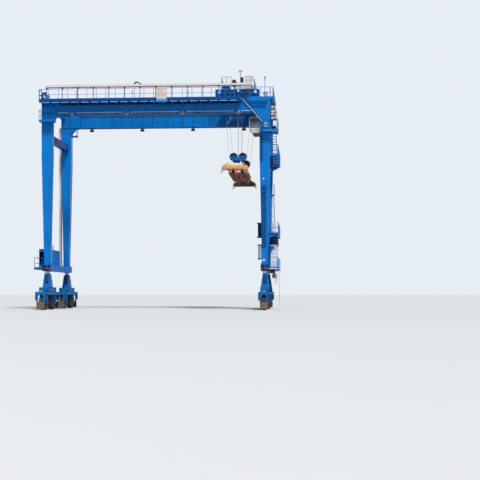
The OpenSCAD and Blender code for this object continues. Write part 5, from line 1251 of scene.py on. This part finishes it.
p = Piece("headblock_fittings", "hoist", "blue_paint")
for y in (-SHEAVE_Y, SHEAVE_Y):
    for s in (-1, 1):
        yy = y + s * 0.108
        for x in (-SHEAVE_X, SHEAVE_X):
            p.turned([(0, 0.03), (0.055, 0.03), (0.075, 0.018), (0.09, 0)], (TX + x, yy, SHEAVE_Z),
                     (0, s, 0), 24, DARK)
            p.bolts([(TX + x + a, yy, SHEAVE_Z + b) for a, b in circle(8, 0.115)], (0, s, 0), 0.01, 0.012,
                    GALV)
        p.box(about(TX, 0.86), (yy, yy + s * 0.006), (SHEAVE_Z + 0.09, SHEAVE_Z + 0.12), DEEP)
    # Dark upper cheek rings, a pale grease plate between the sheaves, rope guards
    for s in (-1, 1):
        yy = y + s * 0.104
        for x in (-SHEAVE_X, SHEAVE_X):
            p.turned([(0.17, 0), (0.17, 0.004), (0.21, 0.004), (0.21, 0)], (TX + x, yy, SHEAVE_Z), (0, s, 0),
                     28, NAVY)
        p.can((TX, yy + s * 0.004, SHEAVE_Z - 0.02), (0, s, 0), 0.045, 0.02, 16, CREAM_AND_HIGHLIGHT)
        p.box(about(TX, 0.62), (yy, yy + s * 0.006), (SHEAVE_Z - 0.50, SHEAVE_Z - 0.40), NAVY)
    for s in (-1, 1):
        for a in (0.9, 2.2):
            x, z = TX + s * (SHEAVE_X + 0.475 * math.cos(a) * 0.9), SHEAVE_Z + 0.47 * math.sin(a) * 0.28
            p.tube([(x, y - 0.1, z), (x, y + 0.1, z)], 0.012, 8, DARK)
# Cable basket, slatted boxes, orange cylinders and strips on the base beam
p.turned([(0.30, 0), (0.40, 0.02), (0.44, 0.42), (0.425, 0.42), (0.385, 0.03), (0.0, 0.02)], (TX, 0, 15.95),
         (0, 0, 1), 36, YELLOW)
for z in (0.14, 0.28, 0.41):
    p.ring((TX, 0, 15.95), (0, 0, 1), (0.425, 0.45), (z, z + 0.025), 36, DARK)
for s in (-1, 1):
    p.box(about(TX, 0.30), (s * 0.75, s * 1.45), (15.95, 16.25), DARK)
    for y in spread(0.80, 1.40, 9):
        p.box(about(TX, 0.31), about(s * y, 0.006), (15.97, 16.23), GALV)
    p.can((TX, s * 1.75, 15.95), (0, 0, 1), 0.12, 0.24, 24, TAN, 0.02)
    for x in (-0.451, 0.451):
        p.box(about(TX + x, 0.004), (s * 0.2, s * 2.7), (15.93, 15.95), DEEP)
        p.box(about(TX + x, 0.004), (s * 0.2, s * 2.7), (15.70, 15.72), DEEP)
    p.box(about(TX, 0.449), (s * 2.75, s * 2.756), (15.68, 15.95), NAVY)
    for x in (-0.36, 0.36):
        p.bolts([(TX + x, s * 2.756, z) for z in (15.76, 15.89)], (0, s, 0), 0.016, 0.014, DARK)
p.done(bevel=0.003)


# Spreader: fixed frame, two telescopic end beams and four corner guides

def painted_by_height(name, low, high, edge):
    """Rust-brown below a height, rust together with painted shade on the lower faces, faded orange above it,
    with a broken border.
    """
    m, nodes, links, b = shader(name, low, 0.7)
    where = nodes.new("ShaderNodeTexCoord")
    split = nodes.new("ShaderNodeSeparateXYZ")
    links.new(where.outputs["Object"], split.inputs[0])
    spots = ramp(nodes, links, noise(nodes, links, 6.0, (1, 1, 0.5), 8.0), 0.3, 0.7, -0.10, 0.10)
    total = nodes.new("ShaderNodeMath")
    total.operation = "ADD"
    links.new(split.outputs["Z"], total.inputs[0])
    links.new(spots, total.inputs[1])
    border = ramp(nodes, links, total.outputs[0], edge - 0.03, edge + 0.03)
    wear = ramp(nodes, links, noise(nodes, links, 3.0, (1, 1, 0.2), 8.0), 0.45, 0.8, 0.0, 0.7)
    top = mix(nodes, links, wear, high, (0.42, 0.20, 0.09))
    under = mix(nodes, links, wear, low, (0.09, 0.035, 0.02))
    links.new(mix(nodes, links, border, under, top), b.inputs["Base Color"])
    return m


# The spreader's paints turn dark brown below a set height: painted shade of the lower faces
END_PAINT = painted_by_height("end_beam_paint", (0.32, 0.12, 0.065), (0.80, 0.43, 0.20), 14.56)
# The rear beam has a darker copy of the beam paint: painted shade
FAR_BEAM_SHADE = painted_by_height("far_beam_painted_shade", (0.11, 0.035, 0.022), (0.34, 0.15, 0.07), 15.02)
FRAME_PAINT = painted_by_height("spreader_paint", (0.155, 0.050, 0.034), (0.66, 0.33, 0.17), 15.00)
GUIDE_PAINT = paint("guide_orange", (0.62, 0.34, 0.13), 0.6, 0.5, (0.20, 0.09, 0.04), 0.6, rust=0.6)
# A darker copy of the guides' orange for the rear guides: painted shade
GUIDE_SHADE = paint("guide_painted_shade", (0.16, 0.065, 0.04), 0.6, 0.5, (0.08, 0.035, 0.02), 0.6, rust=0.6)
dress(FRAME_PAINT, "spreader_frame", bevel=0.005)
dress(END_PAINT, "front_spreader_beam", bevel=0.006)
dress(FAR_BEAM_SHADE, "rear_spreader_beam", bevel=0.006)
dress(GUIDE_PAINT, "front_left_guide", "front_right_guide", bevel=0.005)
dress(GUIDE_SHADE, "rear_left_guide", "rear_right_guide", bevel=0.005)

p = Piece("spreader_fittings", "hoist", "yellow_paint")
ZF0, ZF1 = 14.60, 15.092
for s in (-1, 1):
    # Flanges and web stiffeners
    x = TX + s * 0.976
    for y in spread(-2.5, 2.5, 11):
        p.box((x, x + s * 0.03), about(y, 0.012), (ZF0 + 0.03, ZF1 - 0.03), TAN)
    # Cream top flange: painted highlight of its lit top
    p.box((x, x + s * 0.032), (-2.75, 2.75), (ZF1 - 0.03, ZF1), CREAM_AND_HIGHLIGHT)
    p.box((x, x + s * 0.032), (-2.75, 2.75), (ZF0, ZF0 + 0.03), TAN)
    # Hydraulic unit, hose reel and boxes on the frame's top
    p.box((TX - 0.75, TX - 0.36), (s * 0.35, s * 0.85), (ZF1, ZF1 + 0.42), DARK if s < 0 else BLUE)
    p.box((TX + 0.38, TX + 0.82), (s * 1.45, s * 2.15), (ZF1, ZF1 + 0.40), CREAM_AND_HIGHLIGHT)
    for z in (0.12, 0.28):
        p.tube([(TX + 0.36, s * 1.5, ZF1 + z), (TX + 0.36, s * 2.1, ZF1 + z)], 0.012, 8, DARK)
    p.can((TX - 0.55, s * 1.35, ZF1 + 0.17), (0, s, 0), 0.15, 0.55, 28, RED if s < 0 else STEEL, 0.02)
    for y in spread(1.42, 1.84, 7):
        p.ring((TX - 0.55, s * y, ZF1 + 0.17), (0, 1, 0), (0.15, 0.162), (-0.006, 0.006), 24, DARK)
    p.block((TX - 0.55, s * 1.62, ZF1 + 0.03), (0.26, 0.40, 0.06), DARK)
    # Collars of the posts under the headblock
    for x in (-0.30, 0.30):
        for z in (ZF1, 15.67):
            p.box(about(TX + x, 0.13), about(s, 0.13), (z, z + 0.03), TAN)
        p.bolts([(TX + x + a, s + b, ZF1 + 0.03) for a in (-0.105, 0.105) for b in (-0.105, 0.105)],
                (0, 0, 1), 0.014, 0.016, DARK)
    # Hoses along the frame
    for i, z in enumerate((0.02, 0.045, 0.07)):
        x = TX - 0.22 + 0.05 * i
        p.tube([(x, s * 0.3, ZF1 + 0.05), (x, s * 1.2, ZF1 + 0.05 + z), (x + 0.04, s * 2.65, ZF1 + 0.05)],
               0.016, 8, DARK)
    # Wear strips over and under the slots at this end
    for x in (-0.80, 0.80, -0.498, 0.498):
        for z in (15.043, 14.617):
            p.box(about(TX + x, 0.150), (s * 2.75, s * 2.762), (z, z + 0.032), DARK)
# Brown plate with two small boxes in the middle of the front end, in the same painted shade as the frame's
# lower face
p.box(about(TX, 0.36), (-2.756, -2.75), (14.66, 15.0), SHADE_BROWN)
p.box((TX + 0.02, TX + 0.20), (-2.764, -2.756), (14.72, 14.96), GALV)
p.box((TX - 0.24, TX - 0.08), (-2.764, -2.756), (14.70, 14.90), TAN)
# Underside, in painted shade: brown ribs, black sheets in the bays between them, valves and pipes
for y in spread(-2.6, 2.6, 11):
    p.box(about(TX, 0.94), about(y, 0.03), (14.52, 14.60), SHADE_BROWN)
for i, y in enumerate(spread(-2.34, 2.34, 10)):
    for j, x in enumerate((-0.64, 0.02, 0.62)):
        p.box(about(TX + x, 0.27), about(y, 0.20), (14.594, 14.602), BLACK if (i + j) % 3 else SHADE_BROWN)
    if i % 3 == 0:
        p.box((TX - 0.2 + 0.1 * i, TX - 0.05 + 0.1 * i), (y - 0.10, y + 0.12), (14.54, 14.60),
              CREAM_AND_HIGHLIGHT if i % 2 else GALV)
for x in (-0.94, -0.32, 0.32, 0.94):
    p.box(about(TX + x, 0.03), (-2.7, 2.7), (14.53, 14.60), SHADE_BROWN)
for x in (-0.5, 0.16, 0.48):
    p.tube([(TX + x, -2.6, 14.55), (TX + x + 0.2, 0.0, 14.54), (TX + x, 2.6, 14.55)], 0.018, 6, BLACK)
# Telescoping cylinder and chain along the middle of the top
p.can((TX, -1.8, ZF1 + 0.09), (0, 1, 0), 0.06, 1.9, 20, STEEL, 0.01)
p.can((TX, 0.1, ZF1 + 0.09), (0, 1, 0), 0.03, 1.5, 16, GALV, 0.004)
for y in (-1.8, 0.1, 1.6):
    p.block((TX, y, ZF1 + 0.06), (0.16, 0.08, 0.12), TAN)
p.done(bevel=0.003)

for end, s in (("front", -1), ("rear", 1)):
    p = Piece(end + "_beam_fittings", end + "_beam", "yellow_paint")
    y = s * LOCK_Y
    for k in (-1, 1):
        x = TX + k * 1.1295
        # Housing, lever and bolts of each twistlock, and its landing pin
        p.box(about(x, 0.13), about(y, 0.14), (14.85, 14.88), TAN)
        p.can((x, y, 14.88), (0, 0, 1), 0.075, 0.10, 20, STEEL, 0.01)
        p.prism([(x - k * 0.05, y - 0.03), (x - k * 0.33, y - 0.02), (x - k * 0.33, y + 0.02),
                 (x - k * 0.05, y + 0.03)], "z", 14.92, 14.945, DARK)
        p.bolts([(x + a, y + b, 14.88) for a in (-0.105, 0.105) for b in (-0.115, 0.115)], (0, 0, 1), 0.014,
                0.014, DARK)
        p.turned([(0.0, 0), (0.045, 0), (0.052, 0.012), (0.052, 0.03), (0.034, 0.045)], (x, y, 14.341),
                 (0, 0, 1), 16, STEEL)
        # Motor that swings the guide, with its hose
        p.can((TX + k * 0.80, y, 14.95), (k, 0, 0), 0.055, 0.22, 18, DARK, 0.008)
        p.tube([(TX + k * 0.82, y, 14.98), (TX + k * 0.6, y, 15.17), (TX + k * 0.45, y, 15.15)], 0.014, 8,
               DARK)
        # Stiffeners on the outer face
        for x in (0.15, 0.45, 0.75, 1.02):
            p.box(about(TX + k * x, 0.01), (s * 6.1425, s * 6.160), (14.47, 14.83), RUSTY)
    # Cream strip along the top of the outer face: painted highlight
    p.box(about(TX, 1.2), (s * 6.1425, s * 6.152), (14.80, 14.83), CREAM_AND_HIGHLIGHT)
    p.box(about(TX, 1.2), (s * 6.1425, s * 6.152), (14.47, 14.495), RUSTY)
    p.box(about(TX, 0.35), (s * 5.86, s * 6.10), (15.132, 15.16), TAN)
    if s < 0:
        # Cream plate on the front beam, a painted highlight of the lit near end, round corner plates and two
        # upstands
        p.box(about(TX, 0.74), (-6.150, -6.1425), (14.88, 15.12), CREAM_AND_HIGHLIGHT)
        for k in (-1, 1):
            p.can((TX + k * 1.12, -6.1425, 14.60), (0, -1, 0), 0.19, 0.02, 28, TAN, 0.004)
            p.can((TX + k * 1.12, -6.1625, 14.60), (0, -1, 0), 0.06, 0.015, 16, DARK)
        for x in (-0.64, 0.62):
            p.box(about(TX + x, 0.06), (-6.10, -5.98), (15.13, 15.30), CREAM_AND_HIGHLIGHT)
    p.done(bevel=0.003)
    for side, k in (("left", -1), ("right", 1)):
        p = Piece(end + "_" + side + "_guide_fittings", end + "_" + side + "_guide_body", "yellow_paint")
        x = TX + k * 1.3145
        # The rear guides' fittings take the painted shade copy
        shade = GUIDE_PAINT if s < 0 else GUIDE_SHADE
        # Side ribs and bolts of the guide
        for e in (-1, 1):
            p.prism([(x + k * 0.025, 14.66), (x + k * 0.06, 14.60), (x + k * 0.06, 14.30),
                     (x + k * 0.025, 14.28)], "y", *about(y + e * 0.06, 0.008), shade)
        p.bolts([(x + k * 0.026, y + e * 0.05, z) for e in (-1, 1) for z in (14.24, 14.50)], (k, 0, 0),
                0.012, 0.008, DARK)
        p.done(bevel=0.002)


# Bogies and wheels

dress(DUSTY, *[n for n in NODES if n.endswith("_bogie")], bevel=0.006)
# Face of the bumpers and end plates, and the axles, from a bogie's middle along Y
BUMP, PLATE, AXLE = 2.255, 2.145, 1.2


def bogie(end, side, sx, sy):
    """Fittings of one bogie, in its corner of the crane."""
    cx, cy = sx * HS, sy * HG
    where = end + "_" + side
    p = Piece(where + "_bogie_fittings", where + "_bogie_body", "blue_paint")

    def at(x, y, z):
        return (cx + x, cy + y, z)

    # Pedestal: flanges of the hole, bolts of the slewing ring, plates
    for s in (-1, 1):
        y = cy + s * 0.38
        p.ring((cx, y, 2.96), (0, s, 0), (0.152, 0.205), (0, 0.025), 36, DEEP)
        p.can((cx, y - s * 0.06, 2.96), (0, s, 0), 0.149, 0.03, 32, DARK)
        # Dark upper plate, side ledges and the lit cover below the hole
        p.prism([(cx - 0.29, 3.18), (cx + 0.29, 3.18), (cx + 0.23, 3.74), (cx - 0.23, 3.74)], "y", y,
                y + s * 0.008, DEEP)
        p.box((cx - 0.20, cx + 0.24), (y, y + s * 0.012), (2.46, 2.76), BLUE)
        p.bolts([(cx + a, y + s * 0.012, b) for a in (-0.17, 0.21) for b in (2.49, 2.73)], (0, s, 0), 0.012,
                0.01, DARK)
        for k in (-1, 1):
            p.box((cx + k * 0.28, cx + k * 0.42), (y - s * 0.10, y), (3.13, 3.17), NAVY)
            p.prism([(cx + k * 0.44, 2.41), (cx + k * 0.40, 2.41), (cx + k * 0.205, 3.80),
                     (cx + k * 0.24, 3.80)], "y", y, y + s * 0.018, EDGE)
    p.bolts([(cx + a, cy + b, 3.84) for a, b in circle(16, 0.215)], (0, 0, -1), 0.014, 0.014, DARK)
    # Beam: seams, edges and bolted covers
    for s in (-1, 1):
        x = cx + s * 0.42
        for y in (-1.2, -0.62, 0.62, 1.2):
            p.box((x, x + s * 0.012), (cy + y - 0.015, cy + y + 0.015), (1.94, 2.38), DUSTY)
        p.box((x, x + s * 0.016), about(cy, 1.5), (2.36, 2.385), DUSTY)
        p.box((x, x + s * 0.014), about(cy, 0.26), (2.02, 2.30), EDGE)
        p.bolts([(x + s * 0.014, cy + a, b) for a in (-0.22, 0.22) for b in (2.05, 2.27)], (s, 0, 0), 0.014,
                0.01, DARK)
        y = cy + s * 1.5
        p.box(about(cx, 0.40), (y, y + s * 0.010), (2.34, 2.38), EDGE)
        p.box((cx - 0.40, cx - 0.36), (y, y + s * 0.010), (1.94, 2.34), EDGE)
        p.box((cx + 0.36, cx + 0.40), (y, y + s * 0.010), (1.94, 2.34), EDGE)
        p.box(about(cx, 0.24), (y, y + s * 0.014), (2.02, 2.26), DUSTY)
        for a in (-0.20, 0.20):
            p.bolts([(cx + a, y + s * 0.014, b) for b in (2.05, 2.23)], (0, s, 0), 0.012, 0.01, DARK)
        # Cover's edge, end plate with a flange round its arch
        p.box(about(cx, 0.6), (cy + s * PLATE, cy + s * 2.155), (1.80, 1.84), EDGE)
        for k in (-1, 1):
            p.box((cx + k * 0.44, cx + k * 0.60), (cy + s * PLATE, cy + s * 2.150), (1.02, 1.80), DEEP)
        y = cy + s * PLATE
        curve = [(0.30 * math.cos(a), 1.34 + 0.30 * math.sin(a)) for a in spread(math.pi, 0, 17)]
        arch = [(-0.30, 0.995), (-0.30, 1.34)] + curve + [(0.30, 0.995)]
        for (x0, z0), (x1, z1) in zip(arch, arch[1:]):
            d = Vector((x1 - x0, z1 - z0))
            if d.length < 1e-4:
                continue
            n = Vector((-d.y, d.x)).normalized() * 0.035
            p.prism([(cx + x0, z0), (cx + x1, z1), (cx + x1 + n.x, z1 + n.y), (cx + x0 + n.x, z0 + n.y)],
                    "y", y, y + s * 0.014, EDGE)
        # Bumper: striped face, dark back, bolts and brackets
        yb = cy + s * BUMP
        p.box(about(cx, 0.42), (yb, yb + s * 0.008), (0.115, 0.845), CHEVRON)
        p.box(about(cx, 0.42), (yb - s * 0.07, yb - s * 0.05), (0.13, 0.83), DARK)
        for k in (-1, 1):
            p.bolts([(cx + k * 0.37, yb + s * 0.008, z) for z in (0.775, 0.81)], (0, s, 0), 0.014, 0.014,
                    DARK)
            p.prism([(cx + k * 0.32, 0.78), (cx + k * 0.42, 0.78), (cx + k * 0.42, 1.07),
                     (cx + k * 0.32, 1.07)], "y", cy + s * PLATE, cy + s * 2.16, DARK)
            # Ledge and bolts along the mudguard's side
            p.box((cx + k * 0.575, cx + k * 0.595), (cy + s * 0.5, cy + s * 2.07), (1.60, 1.62), EDGE)
            for yy in spread(0.7, 1.95, 6):
                p.bolts([(cx + k * 0.60, cy + s * yy, 1.72)], (k, 0, 0), 0.013, 0.01, DARK)
        # Axle caps outside the cheeks
        for k in (-1, 1):
            x, y = cx + k * 0.372, cy + s * AXLE
            p.box((cx + k * 0.36, x), about(y, 0.24), (0.68, 1.10), DUSTY)
            p.turned([(0, 0.05), (0.075, 0.05), (0.095, 0.035), (0.105, 0.0)], (x, y, TYRE_R), (k, 0, 0), 28,
                     DARK)
            p.bolts([(x, y + a, TYRE_R + b) for a, b in circle(10, 0.15)], (k, 0, 0), 0.013, 0.014, DARK)
    # Pipes and hoses along the beam, valve boxes and a lamp
    for k in (-1, 1):
        x, sy2 = cx + k * 0.50, -k
        p.tube([at(k * 0.50, sy2 * 0.25, 1.945), at(k * 0.50, sy2 * 1.35, 1.945)], 0.022, 8, DARK)
        p.tube([at(k * 0.30, sy2 * 0.30, 2.43), at(k * 0.46, sy2 * 0.50, 2.36),
                at(k * 0.47, sy2 * 0.60, 1.98), at(k * 0.47, sy2 * 1.9, 1.95)], 0.018, 8, DARK)
        p.box((x - 0.09, x + 0.08), (cy + sy2 * 1.45, cy + sy2 * 1.70), (1.92, 2.10), NAVY)
    p.box(about(cx, 0.09), (cy + sy * 1.72, cy + sy * 1.90), (1.92, 2.02), NAVY)
    p.turned([(0, 0.03), (0.05, 0.03), (0.07, 0.0)], (cx, cy + sy * 1.90, 1.97), (0, sy, 0), 18, WHITE)
    p.done(bevel=0.003)

    # Gearbox and finned motor of the travel drive, on the right bogies
    if side == "right":
        p = Piece(where + "_travel_drive", where + "_bogie_body", "dark_steel")
        s = -sy
        p.box(about(cx, 0.25), (cy + s * 0.16, cy + s * 0.50), (1.26, 1.84), NAVY)
        p.can((cx + 0.25, cy + s * 0.33, 1.50), (-1, 0, 0), 0.15, 0.50, 28, DARK, 0.02)
        for x in spread(-0.20, 0.20, 11):
            p.ring((cx + x, cy + s * 0.33, 1.50), (1, 0, 0), (0.15, 0.165), (-0.005, 0.005), 24, DARK)
        p.done(bevel=0.004)


for end, sy in (("front", -1), ("rear", 1)):
    for side, sx in (("left", -1), ("right", 1)):
        bogie(end, side, sx, sy)


def wheel(end, side, place, sx, sy, k):
    """One tyre with its tread, the rim and the hub."""
    where = "_".join((end, side, place))
    at = Vector((sx * HS, sy * (HG + k * AXLE), TYRE_R))
    p = Piece(where + "_tyre", where + "_wheel_body", "tyre_rubber")
    side_wall = [(0.425, 0.245), (0.44, 0.262), (0.475, 0.268), (0.50, 0.262), (0.545, 0.268), (0.55, 0.275),
                 (0.565, 0.275), (0.57, 0.270), (0.66, 0.279), (0.665, 0.2795), (0.70, 0.272), (0.78, 0.252),
                 (0.835, 0.228)]
    prof = side_wall + [(0.850, 0.20), (0.850, -0.20)] + [(r, -x) for r, x in reversed(side_wall)]
    p.turned(prof, at, (1, 0, 0), 64, RUBBER)
    # Lugs of the tread, in two staggered rows that meet near the middle
    n = 30
    for i in range(n):
        for s in (-1, 1):
            a0 = 2 * math.pi * (i + 0.25 * s) / n
            half = math.pi / n * 0.60
            rows = []
            for x, r, turn in ((0.012, 0.874, 0.0), (0.10, 0.874, 0.05), (0.178, 0.872, 0.11),
                               (0.232, 0.840, 0.12)):
                for d in (-half, half):
                    for rr in (r - 0.035, r):
                        a = a0 + d + turn
                        rows.append((at.x + s * x, at.y + rr * math.cos(a), at.z + rr * math.sin(a)))
            f = []
            for j in range(3):
                b, c = 4 * j, 4 * j + 4
                f += [(b + 1, b + 3, c + 3, c + 1), (b, b + 1, c + 1, c), (b + 3, b + 2, c + 2, c + 3),
                      (b + 2, b, c, c + 2)]
            f += [(0, 2, 3, 1), (12, 13, 15, 14)]
            p.add(rows, f, RUBBER)
    for s in (-1, 1):
        # Rim: flange, gutter, dished disc, hub with studs
        rim = [(0.428, 0.242), (0.448, 0.262), (0.440, 0.272), (0.418, 0.262), (0.410, 0.22), (0.400, 0.12),
               (0.385, 0.06), (0.33, 0.05), (0.26, 0.055), (0.215, 0.075), (0.210, 0.20), (0.205, 0.282),
               (0.12, 0.288), (0.092, 0.288)]
        p.turned(rim, at, (s, 0, 0), 48, RIM)
        hub = at + Vector((s * 0.052, 0, 0))
        p.bolts([(hub.x, at.y + a, at.z + b) for a, b in circle(12, 0.30)], (s, 0, 0), 0.018, 0.03, DARK)
        p.turned([(0.026, 0), (0.026, 0.016), (0.045, 0.016), (0.045, 0)],
                 (at.x + s * 0.05, at.y, at.z + 0.365), (s, 0, 0), 12, DARK, smooth=False)
    p.done(replaces=where + "_wheel")


for end, sy in (("front", -1), ("rear", 1)):
    for side, sx in (("left", -1), ("right", 1)):
        wheel(end, side, "outer", sx, sy, 1)
        wheel(end, side, "inner", sx, sy, -1)


# Floor, light and camera

def seen(nodes, links):
    """1 for rays that end at the camera or in gloss and glass, 0 for light that bounces on."""
    path = nodes.new("ShaderNodeLightPath")
    total = path.outputs["Is Camera Ray"]
    for key in ("Is Glossy Ray", "Is Transmission Ray"):
        n = nodes.new("ShaderNodeMath")
        n.operation = "MAXIMUM"
        links.new(total, n.inputs[0])
        links.new(path.outputs[key], n.inputs[1])
        total = n.outputs[0]
    return total


floor_paint, nodes, links, bsdf = shader("pale_floor", (0.6, 0.6, 0.6), 0.9)
links.new(mix(nodes, links, seen(nodes, links), (0.30, 0.30, 0.30), (0.57, 0.58, 0.59)),
          bsdf.inputs["Base Color"])
bpy.ops.mesh.primitive_plane_add(size=1, location=(0, 60, 0))
floor = bpy.context.object
floor.name = "floor"
floor.scale = (900, 900, 1)
floor.data.materials.append(floor_paint)


def light(name, kind, energy, color, at):
    """A light that looks from a place at the crane's middle."""
    data = bpy.data.lights.new(name, kind)
    data.energy = energy
    data.color = color
    o = bpy.data.objects.new(name, data)
    bpy.context.scene.collection.objects.link(o)
    o.location = at
    o.rotation_euler = (Vector((0, 0, 11)) - Vector(at)).to_track_quat("-Z", "Y").to_euler()
    return data


key = light("key", "SUN", 3.6, (1.0, 0.98, 0.95), (30, -45, 100))
key.angle = math.radians(12)
fill = light("fill", "AREA", 15000, (0.95, 0.97, 1.0), (-10, -110, 30))
fill.shape = "DISK"
fill.size = 60
world = bpy.data.worlds.new("studio")
world.use_nodes = True
nodes, links = world.node_tree.nodes, world.node_tree.links
back = nodes["Background"]
back.inputs["Strength"].default_value = 1.0
links.new(mix(nodes, links, seen(nodes, links), (0.24, 0.27, 0.31), (0.80, 0.85, 0.90)), back.inputs["Color"])
bpy.context.scene.world = world
bpy.context.scene.view_settings.view_transform = "Standard"

cam_data = bpy.data.cameras.new("camera")
cam_data.lens = 55.5
cam_data.sensor_width = 36
cam_data.shift_x = -0.0646
cam_data.shift_y = 0.110
cam_data.clip_end = 1500
cam = bpy.data.objects.new("camera", cam_data)
cam.location = (16.09, -81.8, 1.81)
cam.rotation_euler = (math.radians(90), 0, math.radians(2.71))
bpy.context.scene.collection.objects.link(cam)
bpy.context.scene.camera = cam
